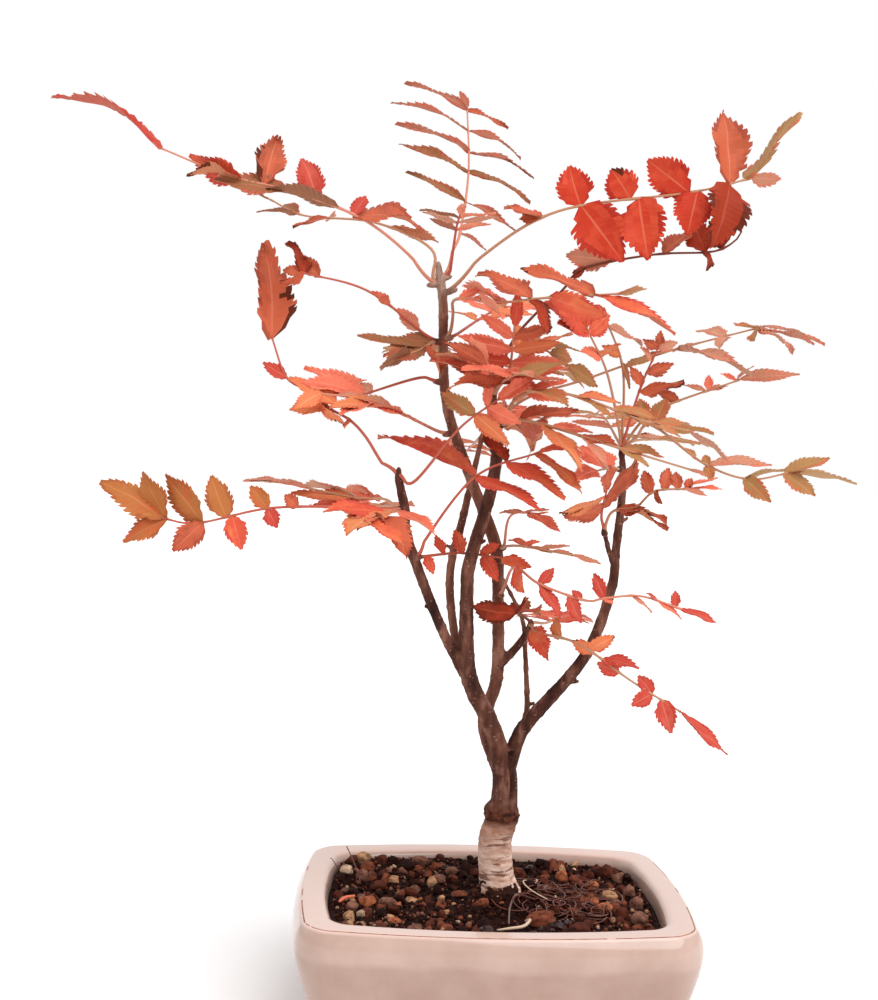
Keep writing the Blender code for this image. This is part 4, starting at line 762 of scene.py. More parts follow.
def leaflet_mesh(row, leaflet, tint, size, tilt, slim, sick, long, rng):
    """Fine leaflet: toothed edge, rib, raised veins, fold and curl. Points, faces and their roles."""
    base, way, up, across, length = blade_frame(row, leaflet, size * long, tilt, straight=False)
    withered = {"M": 1.0, "B": 0.5}.get(tint, 0.0)
    half = slim * row["wide"] * leaflet[6] * length / 2
    fold = rng.uniform(0.06, 0.26) + withered * rng.uniform(0, 0.4)
    wave, phase = rng.uniform(0.01, 0.025) * (1 + 2 * withered) * (1 + row["wide"]), rng.uniform(0, 6.3, 3)
    curl = rng.uniform(-0.05, 0.12) + withered * rng.uniform(0, 0.5)
    sway = rng.uniform(-0.25, 0.25)
    twist = rng.uniform(-0.12, 0.12) * (1 + 3 * withered)
    uneven = rng.choice((-1, 1))
    line = tooth_line(length, rng)
    top, low = [], []
    for i, (t, edge_width, ahead) in enumerate(line):
        w = np.interp(t, *zip(*OUTLINE)) * half
        soft_end = min(1, 5 * t, 4 * (1 - t))
        bend = leaflet[7] * length * t**2 + curl * length * max(t - 0.45, 0) ** 2
        a = twist * t
        side_way = across * math.cos(a) + up * math.sin(a)
        face = up * math.cos(a) - across * math.sin(a)
        middle = base + t * length * way - bend * up + sway * 0.4 * length * t * (1 - t) * across
        for c, u in enumerate(COLUMNS):
            slant = VEIN_SLANT * abs(u) * w
            lobe = 1 + 0.16 * soft_end * noise.noise(Vector((6 * t, 2 * np.sign(u), 5 * phase[0])))
            reach = u * half * np.interp(t + slant / length, *zip(*OUTLINE)) * lobe
            if t < 0.16 and u * uneven > 0:
                reach *= 0.78
            if abs(u) == 1:
                reach *= edge_width[int(u > 0)]
            high = fold * abs(reach) - 0.35 * fold * reach**2 / max(half, 1e-6)
            high += wave * length * u * u * math.sin(8 * t + phase[0 if u > 0 else 1])
            high += 0.035 * length * soft_end * noise.noise(Vector((3 * t, 1.5 * u, 3 * phase[1])))
            if u * sick > 0:
                high += 0.5 * abs(reach) * math.sin(9 * t) ** 2
            if 0.2 < abs(u) < 0.9:
                high += 0.012 * length * (1 if (i - (abs(u) > 0.5)) % 3 == 0 else -0.5)
            further = slant + (ahead * length if abs(u) == 1 else 0)
            point = middle + reach * side_way + high * face + further * way
            thin = THICK * (0.3 if abs(u) == 1 else 0.6)
            top.append(point + face * thin / 2)
            low.append(point - face * (thin / 2 + (0.16 if abs(u) < 0.1 else 0)))
    n, c = len(line), len(COLUMNS)
    points, off = top + low, n * c
    faces, roles = [], []
    scorched = rng.random() < 0.05 + 0.35 * withered
    turned = rng.uniform(-0.2, 0.5)
    drift, lean = rng.uniform(-0.6, 0.9), rng.uniform(-0.35, 0.35)
    for i in range(n - 1):
        t = line[i][0]
        for j in range(c - 1):
            a, b = i * c + j, (i + 1) * c + j
            faces += [(a, a + 1, b + 1, b), (off + a, off + b, off + b + 1, off + a + 1)]
            u = abs(COLUMNS[j] + COLUMNS[j + 1]) / 2
            spot = noise.noise(Vector((2.8 * t, 0.8 * (COLUMNS[j] + COLUMNS[j + 1]), 9 * phase[0])))
            if j == c // 2 - 1:
                roles += [RIB_ROLE, UNDER_EDGE]
            elif scorched and spot + 1.2 * (t - 0.7) + 0.7 * (u - 0.5) > 0.4:
                roles += [SCORCH, SCORCH]
            elif sick * (COLUMNS[j] + COLUMNS[j + 1]) > 0 and 1.4 * u + noise.noise(
                    Vector((9 * t, 3 * COLUMNS[j], 9 * phase[2]))) - 4 * max(t - 0.5, 0) > 0.95:
                roles += [SCORCH, SCORCH]
            elif u > 0.8 and spot > -0.05:
                roles += [EDGE, UNDER]
            else:
                mottle = noise.noise(Vector((6 * t, 2.5 * COLUMNS[j], 9 * phase[1])))
                value = turned + 0.6 * spot + 0.45 * mottle + drift * (t - 0.4) + 0.2 * u + lean * COLUMNS[j]
                roles += [int(np.clip(value * STEPS, 0, STEPS - 1)), UNDER]
        for j, turn in ((0, False), (c - 1, True)):
            a, b = i * c + j, (i + 1) * c + j
            faces.append((a, b, off + b, off + a) if not turn else (a, off + a, off + b, b))
            roles.append(EDGE)
    faces.append(tuple(range(c))[::-1] + tuple(range(off, off + c)))
    last = (n - 1) * c
    faces.append(tuple(range(last, last + c)) + tuple(range(off + last, off + last + c))[::-1])
    return points, faces, roles + [RIB_ROLE, EDGE]


def leaf_materials():
    """Plain colours by tint and role, with a fine grain."""
    made = {}
    for tint, (blade, turned, edge, rib, under) in TINTS.items():
        shades = [tuple(a + (b - a) * f for a, b in zip(blade, turned)) for f in np.linspace(0, 1, STEPS)]
        colours = shades + [edge, rib, SCORCHED, under, tuple(0.9 * c + 0.1 * d for c, d in zip(under, rib))]
        for role, colour in enumerate(colours):
            item = Nodes(f"leaf_{tint}{role}", colour, 0.5 if role < UNDER else 0.75, 0.12)
            item.bump(item.noise(420, detail=1), 0.1 if role < UNDER else 0.02, 0.25)
            made[tint, role] = item.material
    return made


def rooted_stalk(row):
    """A leaf's stalk as it is drawn: its thick base curves out of the limb."""
    stations = stalk(row, straight=False)[0]
    limb, bud = TUFTS[row["mass"]]
    path = smooth(LIMBS[limb][1], 400)[0]
    near = path[np.linalg.norm(path[:, :3] - np.array(bud), axis=1).argmin(), :3]
    t = np.linspace(0, 1, 12)[:-1, None]
    base = (1 - t) ** 2 * near + 2 * t * (1 - t) * np.array(bud) + t**2 * stations[4, :3]
    return stations, np.vstack([np.c_[base, 1.55 + (stations[4, 3] - 1.55) * t**0.6], stations[4:]])


def make_leaves(chosen):
    """One piece of fine leaflets for each mass, and one of all the stalks."""
    colours = leaf_materials()
    stalk_colours = []
    for name, colour in STALK_TINTS.items():
        item = Nodes("stalk_" + name, colour, 0.45, 0.2)
        item.bump(item.noise(700, (1, 1, 0.3)), 0.15, 0.4)
        stalk_colours.append(item.material)
    stalks = Pile()
    for mass in TUFTS:
        pile = Pile()
        for row in LEAVES:
            if row["mass"] != mass:
                continue
            rng = np.random.default_rng(7 + sum(map(ord, row["name"])))
            for leaflet, tint, *rest in chosen[row["name"]]:
                points, faces, roles = leaflet_mesh(row, leaflet, tint, *rest, rng)
                pile.add(points, faces, [(tint, role) for role in roles])
            stations, whole = rooted_stalk(row)
            for k in {leaflet[0] for leaflet, *_ in chosen[row["name"]] if leaflet[0] > 3}:
                whole[k + 7, 3] += 0.22
            role = {"M": 3, "B": 0, "V": 2, "T": 2, "D": 2, "P": 1}.get(row["tints"][-1], int(rng.integers(3)))
            stalks.add(*pipe(whole, 7), role)
        piece = pile.build(mass + "_leaflets", colours)
        piece.data.set_sharp_from_angle(angle=math.radians(50))
        keep(piece, MASS_SLOT[mass] + "_leaves", mass + "_leaves")
    piece = stalks.build("leaf_stalks", stalk_colours)
    keep(piece, "coral_leaves")


VOXEL = 0.6  # mm


def bark_material(name, light):
    """Bark from foot to tip; light is how far young wood goes from dark to light brown, partly the paler bark of
    some limbs and partly painted light where the crown shades them.
    """
    bark = Nodes(name, (84, 48, 36), 0.75, 0.15)
    mottled = bark.noise(170, (1, 1, 0.35))
    dark = bark.ramp(mottled, (0.3, (38, 17, 12)), (0.5, (78, 43, 33)), (0.68, (132, 90, 76)))
    brown = bark.ramp(mottled, (0.3, (88, 50, 38)), (0.5, (124, 78, 62)), (0.7, (160, 114, 95)))
    dark = bark.mix(bark.ramp(bark.noise(24, detail=2), (0.5, light), (0.66, 0.5 + 0.5 * light)), dark, brown)
    dark = bark.mix(bark.height_share(250, 460), dark, brown)
    dots = bark.ramp(bark.cells(270, (1, 1, 1.4)), (0.12, 0.6), (0.19, 0.0))
    patchy = bark.ramp(bark.noise(70, detail=2), (0.4, 0.25), (0.55, 1.0))
    young = bark.mix(bark.product(dots, patchy), dark, (176, 134, 116))
    pale = bark.ramp(bark.noise(150, (0.6, 0.6, 1.8)), (0.28, (150, 102, 82)), (0.45, (204, 165, 146)),
                     (0.62, (232, 202, 187)))
    worn = bark.ramp(bark.noise(90, (1, 1, 0.5)), (0.3, (128, 84, 64)), (0.6, (166, 120, 100)))
    pale = bark.mix(bark.height_share(82, 104), pale, worn)
    flakes = bark.ramp(bark.noise(130, (1, 1, 1.2), detail=4), (0.57, 0.0), (0.63, 0.6))
    pale = bark.mix(flakes, pale, (158, 108, 86))
    scars = bark.ramp(bark.noise(240, (0.3, 0.3, 1.9), detail=3), (0.36, 0.85), (0.41, 0.0))
    old = bark.mix(scars, pale, (112, 66, 46))
    crumbs = bark.add("ShaderNodeMath", operation="MULTIPLY_ADD")
    bark.link(bark.noise(210, detail=3), crumbs.inputs[0])
    crumbs.inputs[1].default_value = 1.6
    bark.link(bark.height_share(64.5, 80), crumbs.inputs[2])
    old = bark.mix(bark.ramp(crumbs.outputs[0], (0.92, 1.0), (1.0, 0.0)), old, (50, 20, 11))
    crust = bark.ramp(bark.noise(300, detail=3), (0.35, (44, 20, 13)), (0.6, (104, 55, 38)))
    wood = bark.mix(bark.height_share(99, 104), old, crust)
    wood = bark.mix(bark.height_share(109, 114), wood, young)
    tip = bark.ramp(bark.noise(300, (1.5, 1.5, 0.25)), (0.35, (130, 96, 80)), (0.65, (196, 164, 146)))
    bark.colour(bark.mix(bark.height_share(380, 402), wood, tip))
    bark.roughness(mottled, 0.6, 0.9)
    bark.bump(bark.noise(420, (0.7, 0.7, 1.5)), 0.38, 0.75)
    bark.bump(bark.noise(1500), 0.14, 0.5)
    return bark.material


# limbs under the crown that get the lighter bark: partly their paler bark, partly painted light against the crown's
# shade
LIGHT_LIMBS = ("thin_stem", "leader", "back_stem")
COLLAR = 107.0  # height of the swollen ring on the trunk
CREASE_TOP, CREASE_TURN = 142.0, math.radians(-58)  # a groove on the trunk, seen on its right
NODE_STEP = (9.0, 17.0)
# Short dry stubs on the stems: (limb, share of its length, way that it points, length, radius)
STUBS = (("right_stem", 0.3, (0.8, -0.3, 0.15), 5, 1.1), ("thin_stem", 0.25, (0.9, -0.2, 0.4), 3, 0.9),
         ("front_stem", 0.62, (0.8, -0.5, 0.5), 4, 1.0), ("front_stem", 0.86, (-0.7, -0.4, 0.7), 3, 0.9),
         ("left_stem", 0.35, (-0.9, -0.2, 0.4), 3, 0.9), ("left_stem", 0.7, (-0.7, -0.5, 0.6), 3, 0.8),
         ("leader", 0.55, (-0.9, -0.2, 0.5), 4, 1.0), ("leader", 0.8, (-0.8, -0.4, 0.6), 3, 0.9),
         ("right_stem", 0.8, (0.8, 0.1, 0.6), 4, 0.9), ("back_stem", 0.5, (-0.8, 0.3, 0.5), 3, 0.9),
         ("leader", 0.25, (0.2, 0.9, 0.4), 3, 0.9), ("right_stem", 0.55, (0.2, 0.9, 0.4), 3, 0.9))


def knuckled(stations, rng):
    """A stem with a low swelling at each old leaf scar."""
    along = np.r_[0, np.cumsum(np.linalg.norm(np.diff(stations[:, :3], axis=0), axis=1))]
    at = rng.uniform(6, 14)
    while at < along[-1] - 3:
        stations[:, 3] += rng.uniform(0.18, 0.42) * np.exp(-((along - at) / 0.9) ** 2)
        at += rng.uniform(*NODE_STEP)
    return stations


def make_bark():
    """All limbs and spurs joined by a voxel remesh, with the bark's relief pushed out of it."""
    rng = np.random.default_rng(5)
    pile = Pile()
    for name in LIMBS:
        stations = limb_stations(name, step=1)
        if name == "trunk":
            stations[0, :3] -= (0, 0, 3)
            for height, swell in ((COLLAR + 1.2, 1.1), (COLLAR - 2.0, 0.9)):
                stations[:, 3] += swell * np.exp(-((stations[:, 2] - height) / 1.5) ** 2)
            points, faces = pipe(stations, 28)
            points = flare(points)
        else:
            points, faces = pipe(knuckled(stations, rng), 16)
        pile.add(points, faces, 0)
    for name, share, way, length, radius in STUBS:
        path = limb_stations(name, step=1)
        x, y, z, thick = path[round(share * (len(path) - 1))]
        way = unit(way)
        root = np.array((x, y, z)) + way * thick * 0.5
        tip = root + way * (length + thick * 0.5)
        pile.add(*pipe([(*root, radius * 1.5), (*(root * 0.5 + tip * 0.5), radius * 1.1), (*tip, radius)], 8), 0)
    for mass in TUFTS:
        limb, bud = TUFTS[mass]
        stations = spur_stations(mass)
        path = smooth(LIMBS[limb][1], 400)[0]
        near = path[np.linalg.norm(path[:, :3] - np.array(bud), axis=1).argmin()]
        root = (*near[:3], SPUR[0] + 0.2)
        stations[:, 3] *= 1.3
        pile.add(*pipe(knuckled(smooth(np.vstack([root, stations]), 14)[0], rng), 10), 0)
    # two copies of the bark; the lighter one is partly painted light for the shaded back limbs
    looks = [bark_material("bark_dark", 0.0), bark_material("bark_light", 0.85)]
    rough = pile.build("bark", looks)
    step = rough.modifiers.new("join", "REMESH")
    step.mode = "VOXEL"
    step.voxel_size = VOXEL * MM
    soft = rough.modifiers.new("soften", "SMOOTH")
    soft.factor, soft.iterations = 0.5, 3
    mesh = bpy.data.meshes.new_from_object(rough.evaluated_get(bpy.context.evaluated_depsgraph_get()))
    bpy.data.objects.remove(rough)
    count = len(mesh.vertices)
    points, normals = np.empty(count * 3, np.float32), np.empty(count * 3, np.float32)
    mesh.vertices.foreach_get("co", points)
    mesh.vertex_normals.foreach_get("vector", normals)
    points, normals = points.reshape(-1, 3) / MM, normals.reshape(-1, 3)
    relief = np.empty(count)
    trunk = np.array(LIMBS["trunk"][1])
    for i, (x, y, z) in enumerate(points.tolist()):
        collar = math.exp(-(((z - COLLAR + 0.5) / 4) ** 2))
        foot = math.exp(-max(z - TRUNK_FOOT, 0) / 6)
        old = 1.0 if z < COLLAR else 0.0
        bark = noise.fractal(Vector((x / 6, y / 6, z / 2.4)), 1, 2, 4) * (0.34 * old + 0.9 * collar + 0.6 * foot)
        scar = noise.noise(Vector((x / 5, y / 5, z / 1.3)))
        bark += -0.35 * max(scar - 0.25, 0) * old * 2
        bark += noise.fractal(Vector((x / 2.2, y / 2.2, z / 3.5)), 1, 2, 3) * 0.2 * (1 - old)
        if COLLAR + 5 < z < CREASE_TOP:
            x0, y0 = np.interp(z, trunk[:, 2], trunk[:, 0]), np.interp(z, trunk[:, 2], trunk[:, 1])
            turn = math.atan2(y - y0, x - x0) - CREASE_TURN
            bark -= 2.4 * math.exp(-((turn / 0.17) ** 2)) * min((z - COLLAR - 5) / 6, 1)
        relief[i] = bark + noise.noise(Vector((x / 9, y / 9, z / 1.1))) * 0.08
    points += normals * relief[:, None]
    points[:, 2] = np.maximum(points[:, 2], TRUNK_FOOT - 0.2)
    faces = np.empty(len(mesh.polygons) * 4, np.int32)
    mesh.polygons.foreach_get("vertices", faces)
    faces = faces.reshape(-1, 4)
    lines = {name: limb_stations(name, step=3)[:, :3] for name in LIMBS}
    owners = np.concatenate([[name in LIGHT_LIMBS] * len(line) for name, line in lines.items()])
    tree = KDTree(len(owners))
    for i, place in enumerate(np.vstack(list(lines.values()))):
        tree.insert(place, i)
    tree.balance()
    roles = [owners[tree.find(centre)[1]] for centre in points[faces].mean(1)]
    bark = mesh_object("bark", points, faces.tolist(), looks, roles)
    keep(bark, "bark", *LIMBS)


def rim_ring(height, offset, share=1.0, corner_points=5, long_points=7, short_points=5):
    """Points of one level of the pot: the rim's outline, offset outwards."""
    half_x, half_y = RIM_HALF_X + offset, RIM_HALF_Y + offset
    corner = max(LEAST_CORNER, RIM_CORNER + offset)
    points = []
    for turn, (sx, sy) in enumerate(((1, 1), (-1, 1), (-1, -1), (1, -1))):
        for a in np.linspace(0, math.pi / 2, corner_points) + turn * math.pi / 2:
            points.append((sx * (half_x - corner) + corner * math.cos(a),
                           sy * (half_y - corner) + corner * math.sin(a)))
        start = np.array(points[-1])
        along_x = turn % 2 == 0
        end = np.array((-sx * (half_x - corner), start[1]) if along_x else (start[0], -sy * (half_y - corner)))
        for f in np.linspace(0, 1, long_points if along_x else short_points)[1:-1]:
            points.append(tuple(start + (end - start) * f))
    p = np.array(points)
    front = BOW_FRONT * (1 - (p[:, 0] / half_x) ** 2) * (p[:, 1] / half_y) ** 2
    side = BOW_SIDE * (1 - (p[:, 1] / half_y) ** 2) * (p[:, 0] / half_x) ** 2
    p = p + np.stack([np.sign(p[:, 0]) * side, np.sign(p[:, 1]) * front], 1)
    return np.c_[p * share, np.full(len(p), float(height))]


def loft(rings):
    """Faces of a closed solid through rings of equal count."""
    count = len(rings[0])
    faces = [tuple(range(count))[::-1], tuple(range(len(rings) * count - count, len(rings) * count))]
    for r in range(len(rings) - 1):
        for i in range(count):
            j = (i + 1) % count
            faces.append((r * count + i, r * count + j, (r + 1) * count + j, (r + 1) * count + i))
    return faces


def glaze_material():
    glaze = Nodes("cream_glaze", (194, 160, 145), 0.2, 0.5)
    glaze.shader.inputs["Coat Weight"].default_value = 0.35
    glaze.shader.inputs["Coat Roughness"].default_value = 0.08
    wall = glaze.ramp(glaze.noise(45, detail=4), (0.35, (169, 137, 123)), (0.65, (180, 149, 135)))
    # the band below the rim is lighter than the lower wall, down to a wavy edge: partly a glaze band, partly painted
    # light from above
    rim = glaze.ramp(glaze.noise(40, detail=4), (0.35, (181, 150, 136)), (0.65, (192, 162, 149)))
    edge = glaze.add("ShaderNodeMath", operation="MULTIPLY_ADD")
    glaze.link(glaze.noise(26, (1, 1, 0.2), detail=2), edge.inputs[0])
    edge.inputs[1].default_value = 0.9
    glaze.link(glaze.height_share(44, 57), edge.inputs[2])
    tone = glaze.mix(glaze.ramp(edge.outputs[0], (0.72, 0.0), (0.98, 1.0)), wall, rim)
    # the rim's top face is painted lighter: painted light from above
    tone = glaze.mix(glaze.height_share(63.4, 64.6), tone, (218, 188, 176))
    specks = glaze.ramp(glaze.cells(75), (0.028, 1.0), (0.045, 0.0))
    rare = glaze.ramp(glaze.noise(38, detail=1), (0.6, 0.0), (0.64, 1.0))
    glaze.colour(glaze.mix(glaze.product(specks, rare), tone, (128, 92, 78)))
    glaze.roughness(glaze.noise(60), 0.1, 0.24)
    glaze.bump(glaze.noise(55, detail=2), 0.25, 0.25)
    return glaze.material


def make_pot():
    profile = smooth([(h, o, 0) for h, o in POT_WALL[:10]], 60)[0][:, :2].tolist()
    lip = [(64.78, -0.75), (64.86, -1.0), (64.93, -1.4), (65.02, -2.1), (65.05, -3.4), (65.05, -8.5),
           (64.95, -10.2), (64.65, -11.6), (64.1, -12.8), (63.3, -13.7), (62.2, -14.3), (61, -14.65)]
    inside = [(59.5, -14.9), (55, -15.2), (45, -16), (33, -17), (20, -18), (14.5, -20.5), (CAVITY_FLOOR, -22)]
    rings = [rim_ring(h, o, 1, 17, 41, 31) for h, o in profile + lip + inside]
    line = Nodes("bare_clay_line", (134, 82, 60), 0.7, 0.3)
    line.colour(line.ramp(line.noise(240), (0.35, (112, 64, 46)), (0.6, (168, 112, 86))))
    line.bump(line.noise(500), 0.2, 0.5)
    faces = loft(rings)
    count = len(rings[0])
    line_rings = (len(profile), len(profile) + 1)
    roles = [0, 0]
    for r in range(len(rings) - 1):
        for i in range(count):
            centre = (rings[r][i] + rings[r + 1][(i + 1) % count]) / 2
            worn = centre[1] < -30 or noise.noise(Vector((centre[0] / 14, centre[1] / 14, 0))) > 0
            whole = noise.noise(Vector((centre[0] / 4, centre[1] / 4, 3.1))) > -0.42
            roles.append(1 if r in line_rings and worn and whole else 0)
    pot = mesh_object("glazed_pot", np.vstack(rings), faces, [glaze_material(), line.material], roles)
    keep(pot, "glaze", "pot")


def soil_height(x, y):
    foot = LIMBS["trunk"][1][0]
    far = math.hypot(x - foot[0], y - foot[1])
    rise = min(max((38 - far) / 20, 0), 1)
    back = min(max((y - 8) / 40, 0), 1)
    return SOIL_EDGE + max((SOIL_TOP - SOIL_EDGE) * rise, back * (3.4 - x / 60)) + 4.5 * math.exp(-((far / 15) ** 2))


def soil_materials():
    looks = (("dark", (42, 15, 9)), ("brown", (90, 42, 28)), ("rust", (128, 68, 47)), ("grey", (134, 90, 74)),
             ("tan", (190, 142, 106)), ("orange", (178, 102, 68)), ("pale", (218, 184, 154)), ("wet", (46, 16, 10)))
    made = []
    for name, colour in looks:
        item = Nodes("grit_" + name, colour, 0.25 if name == "wet" else 0.75, 0.22 if name == "wet" else 0.1)
        darker = tuple(0.62 * c for c in colour)
        item.colour(item.ramp(item.noise(330, detail=3), (0.36, darker), (0.6, colour)))
        item.bump(item.noise(700), 0.3, 0.6)
        made.append(item.material)
    return made


def ball(levels):
    work = bmesh.new()
    bmesh.ops.create_icosphere(work, subdivisions=levels, radius=1)
    points = np.array([v.co[:] for v in work.verts])
    faces = [tuple(v.index for v in f.verts) for f in work.faces]
    work.free()
    return points, faces


def stones(levels, count, rng):
    """Unit stones: a ball with flat chips cut off it."""
    made = []
    for _ in range(count):
        points, faces = ball(levels)
        for _ in range(7):
            way = unit(rng.normal(0, 1, 3))
            over = points @ way - rng.uniform(0.58, 0.9)
            points = points - np.maximum(over, 0)[:, None] * way
        if levels > 1:
            shift = rng.uniform(0, 50)
            points = points * [[1 + 0.2 * noise.noise(Vector(p * 1.7) + Vector((shift, 0, 0)))] for p in points]
        made.append((points, faces))
    return made


def grain(centre, size, rng, kinds):
    points, faces = kinds[int(rng.integers(len(kinds)))]
    p = points * rng.uniform(0.62, 1.3, 3) * size / 2
    a, b, c = rng.uniform(0, 6.3, 3)
    turn = np.array(Matrix.Rotation(a, 3, "Z") @ Matrix.Rotation(b, 3, "X") @ Matrix.Rotation(c, 3, "Y"))
    return p @ turn.T + centre, faces


# Stones that show in the photo: (x, y, width, height, colour index)
SHOWN_STONES = (
    (-72, 54, 9, 7, 4), (-81, 35, 8, 6, 6), (-54, 25, 8, 4, 4), (-58, -11, 9, 5, 3), (-69, -10, 9, 6.5, 5),
    (-72, -30, 5, 4, 6), (-20, 39, 7, 5, 3), (-28, 27, 8, 5, 3), (-18, -3, 9, 3.5, 2), (-28, -6, 4.5, 4.5, 4),
    (44, 35, 7, 6.5, 5), (52, 34, 8, 4, 2), (60, 23, 7.5, 6, 5), (67, 7, 10, 6, 4), (69, -7, 5.5, 5, 3),
    (61, -16, 9, 5.5, 5), (80, 11, 7.5, 7.5, 3), (80, -10, 8, 9, 3), (77, -35, 9, 8, 3), (25, -38, 16, 8.5, 2),
    (43, -50, 13, 6, 1), (69, -26, 7.5, 7.5, 1), (-78, -48, 4, 4.5, 4), (-70, -52, 3.5, 2.5, 6),
    (-43, -53, 8, 4.5, 3), (-26, -24, 4, 3, 4), (-54, -24, 6.5, 5.5, 1), (18, 43, 8, 5, 2), (-82, -6, 4.5, 4, 4),
    (-63, 15, 8.5, 6, 1), (-77, -22, 6.5, 6.5, 3), (-45, 6, 8, 5.5, 1), (-6, 38, 8, 5, 1), (-38, 52, 9.5, 6.5, 3),
    (68, 50, 7, 4, 1), (39, 5, 5.5, 4.5, 1))


def shown_stone(x, y, width, height, rng, kinds):
    points, faces = kinds[int(rng.integers(len(kinds)))]
    turn = np.array(Matrix.Rotation(rng.uniform(-0.4, 0.4), 3, "Z"))
    centre = (x, y, soil_height(x, y) + 0.22 * height)
    return (points * (width / 1.8, width / 2.4, height / 1.8)) @ turn.T + centre, faces


MIDDLE_SHARES = (0.5, 0.26, 0.08, 0.03, 0.01, 0.01, 0.01, 0.1)


def make_soil():
    """A dark bed with loose grit, root threads and a few dry stalks."""
    rng = np.random.default_rng(12)
    colours = soil_materials()
    walls = [(CAVITY_FLOOR + 0.35, -22.6), (20.1, -18.45), (SOIL_EDGE - 1.2, -15.6)]
    rings = [rim_ring(h, o, 1, 9, 21, 15) for h, o in walls]
    foot = np.array(LIMBS["trunk"][1][0][:2])
    for share in np.linspace(0.99, 0.05, 30):
        ring = rings[len(walls) - 1].copy()
        ring[:, :2] = foot + (ring[:, :2] - foot) * share
        for p in ring:
            p[2] = soil_height(p[0], p[1]) - 1 + 0.9 * noise.fractal(Vector((p[0] / 5, p[1] / 5, 2)), 1, 2, 3)
        rings.append(ring)
    bed = mesh_object("soil_bed", np.vstack(rings), loft(rings), [colours[0]])
    keep(bed, "soil", "soil")
    small, large = stones(1, 14, rng), stones(2, 14, rng)
    pile = Pile()

    def inside(x, y, spare):
        half_x, half_y = RIM_HALF_X - 16 - spare, RIM_HALF_Y - 16 - spare
        bow = BOW_FRONT * (1 - (x / half_x) ** 2) if abs(x) < half_x else 0
        side = BOW_SIDE * (1 - (y / half_y) ** 2) if abs(y) < half_y else 0
        return abs(x) < half_x + side and abs(y) < half_y + bow and abs(x) + abs(y) < half_x + half_y - 5

    pebbles, kinds = Pile(), stones(3, 9, rng)
    for x, y, width, height, role in SHOWN_STONES:
        pebbles.add(*shown_stone(x, y, width, height, rng, kinds), role)
    keep(pebbles.build("soil_pebbles", colours), "soil")
    for count, low, high, base in ((640, 3.6, 9.0, large), (5200, 1.0, 3.4, small)):
        for _ in range(count):
            x, y = rng.uniform(-98, 98), rng.uniform(-80, 80)
            size = rng.uniform(low, high)
            if not inside(x, y, size / 2) or math.hypot(x - foot[0], y - foot[1]) < 9.5 + size / 2:
                continue
            if any(abs(x - stone[0]) < stone[2] * 0.55 and abs(y - stone[1]) < stone[2] * 0.5 for stone in SHOWN_STONES):
                continue
            if base is large and math.hypot(x - 4, (y + 22) * 1.2) < 26 and rng.random() < 0.75:
                continue
            shares = (0.34, 0.3, 0.15, 0.11, 0.05, 0.03, 0.02, 0) if abs(x - 8) > 34 else MIDDLE_SHARES
            role = int(rng.choice(8, p=shares)) if base is large or rng.random() < 0.55 else 0
            z = soil_height(x, y) - 0.4 + rng.uniform(-0.3, 0.25) * size
            pile.add(*grain(np.array((x, y, z)), size, rng, base), role)
    grit = pile.build("soil_grit", colours, flat=True)
    keep(grit, "soil")
    threads = Pile()
    thread_looks = []
    looks = (("pale", (214, 186, 160), 0.5), ("brown", (92, 40, 24), 0.2), ("red", (222, 112, 84), 0.5),
             ("grey", (112, 86, 76), 0.3))
    for name, colour, rough in looks:
        item = Nodes("thread_" + name, colour, rough, 0.4)
        item.bump(item.noise(900, (1, 1, 0.3)), 0.1, 0.4)
        thread_looks.append(item.material)
    for _ in range(90):
        x, y = rng.uniform(14, 62), rng.uniform(-30, 24)
        turn, length = rng.uniform(0, 6.3), rng.uniform(8, 20)
        bend, arch = rng.uniform(-5, 5), rng.uniform(0.4, 3.4)
        route = []
        for t in np.linspace(0, 1, 7):
            a = turn + bend * t
            p = (x + length * t * math.cos(a), y + length * t * math.sin(a))
            if inside(*p, 2):
                high = arch * math.sin(math.pi * t)
                route.append((*p, soil_height(*p) + 0.9 + high, rng.uniform(0.3, 0.55)))
        if len(route) > 3:
            threads.add(*pipe(smooth(route, 16)[0], 5), int(rng.random() < 0.97))
    for look, sides, route in (
            (0, 7, ((-1, -54, 59, 0.5), (6, -55, 60.4, 0.8), (13, -53, 61, 0.9), (17, -46, 62, 0.8), (15, -42, 60, 0.6))),
            (3, 6, ((16, -8, 62, 0.5), (12.6, -12, 64.4, 0.7), (8, -28, 62.6, 0.6), (6, -44, 59, 0.5))),
            (1, 5, ((-73, 20, 60, 0.35), (-77, 36, 66, 0.35), (-82, 50, 72, 0.3))),
            (1, 5, ((-86, 36, 62, 0.3), (-90, 40, 67, 0.25), (-91, 36, 68.5, 0.2))),
            (2, 6, ((-84, -20, 61.5, 0.8), (-81, -16, 62.4, 1), (-76, -10, 61.5, 0.8)))):
        threads.add(*pipe(smooth(route, 16)[0], sides), look)
    strands = threads.build("root_threads", thread_looks)
    keep(strands, "soil")


AROUND = 0.82  # light from all round; the backdrop itself is white


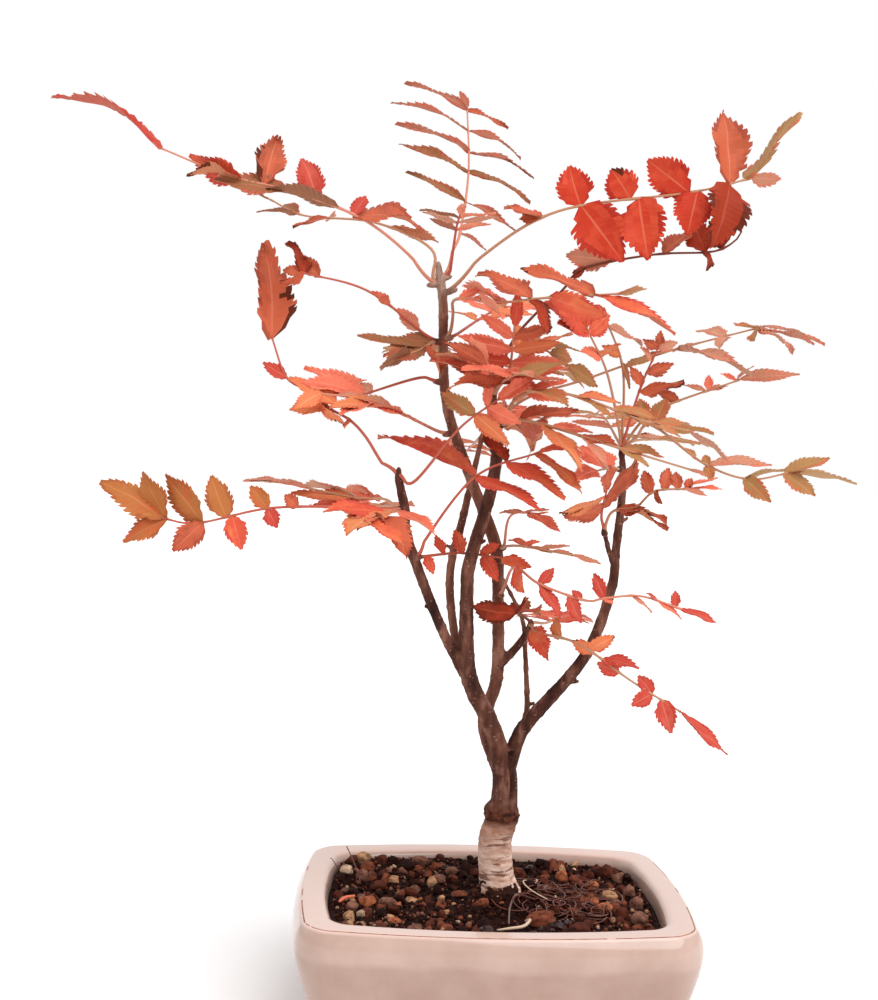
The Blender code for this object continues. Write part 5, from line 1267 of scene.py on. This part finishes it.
def make_stage():
    floor_look = Nodes("pale_floor", (251, 251, 251), 0.8, 0.2)
    floor_look.bump(floor_look.noise(3), 0.1, 0.05)
    bpy.ops.mesh.primitive_plane_add(size=24, location=(0, 0, 0))
    floor = bpy.context.object
    floor.name = "floor"
    floor.data.materials.append(floor_look.material)
    world = bpy.data.worlds.new("studio")
    bpy.context.scene.world = world
    world.use_nodes = True
    nodes, links = world.node_tree.nodes, world.node_tree.links
    nodes["Background"].inputs["Color"].default_value = (1, 1, 1, 1)
    nodes["Background"].inputs["Strength"].default_value = AROUND
    backdrop = nodes.new("ShaderNodeBackground")
    seen, choice = nodes.new("ShaderNodeLightPath"), nodes.new("ShaderNodeMixShader")
    links.new(seen.outputs["Is Camera Ray"], choice.inputs[0])
    links.new(nodes["Background"].outputs[0], choice.inputs[1])
    links.new(backdrop.outputs[0], choice.inputs[2])
    backdrop.inputs["Color"].default_value = (1, 1, 1, 1)
    links.new(choice.outputs[0], nodes["World Output"].inputs["Surface"])
    for name, way, strength, spread in (("key", (0.6, -0.6, 1.0), 1.95, 55), ("fill", (-0.8, 0.4, 0.9), 0.25, 60)):
        lamp = bpy.data.lights.new(name, "SUN")
        lamp.energy, lamp.angle = strength, math.radians(spread)
        holder = bpy.data.objects.new(name, lamp)
        holder.rotation_euler = (-Vector(way)).to_track_quat("-Z", "Y").to_euler()
        bpy.context.scene.collection.objects.link(holder)
    bpy.context.scene.view_settings.view_transform = "Standard"


CAMERA_AT = (-68.95, -771.8, 305)
YAW, PITCH, ROLL = math.radians(2.45), math.radians(1.86), math.radians(1.80)
FOCAL_PIXELS = 1400


def make_camera():
    """The photo's view: fitted to the pot's rim."""
    lens = bpy.data.cameras.new("camera")
    lens.sensor_width = 36
    lens.lens = 36 * FOCAL_PIXELS / 1000
    camera = bpy.data.objects.new("camera", lens)
    right = np.array((1, 0, 0))
    forward = np.array((0, math.cos(PITCH), -math.sin(PITCH)))
    up = np.cross(right, forward)
    right, up = (right * math.cos(ROLL) + up * math.sin(ROLL), up * math.cos(ROLL) - right * math.sin(ROLL))
    yaw = np.array(Matrix.Rotation(-YAW, 3, "Z"))
    axes = [yaw @ v for v in (right, up, -forward)]
    turn = Matrix([tuple(v) for v in axes]).transposed().to_4x4()
    camera.matrix_world = Matrix.Translation(Vector(CAMERA_AT) * MM) @ turn
    bpy.context.scene.collection.objects.link(camera)
    bpy.context.scene.camera = camera


def main():
    make_camera()
    make_stage()
    make_pot()
    make_soil()
    make_bark()
    limb_trees = [tree_of_pipe(limb_stations(name, CLEAR), 10 if name == "trunk" else 8,
                               flare if name == "trunk" else None) for name in LIMBS]
    stem_trees = [(mass, "spur", tree_of_pipe(spur_stations(mass) + (0, 0, 0, MARGIN), 4)) for mass in TUFTS]
    stem_trees += [(row["mass"], row["name"], tree_of_pipe(stalk(row)[0][::RUN] + (0, 0, 0, MARGIN), 4))
                   for row in LEAVES]
    make_leaves(place_leaflets(limb_trees, stem_trees))


main()
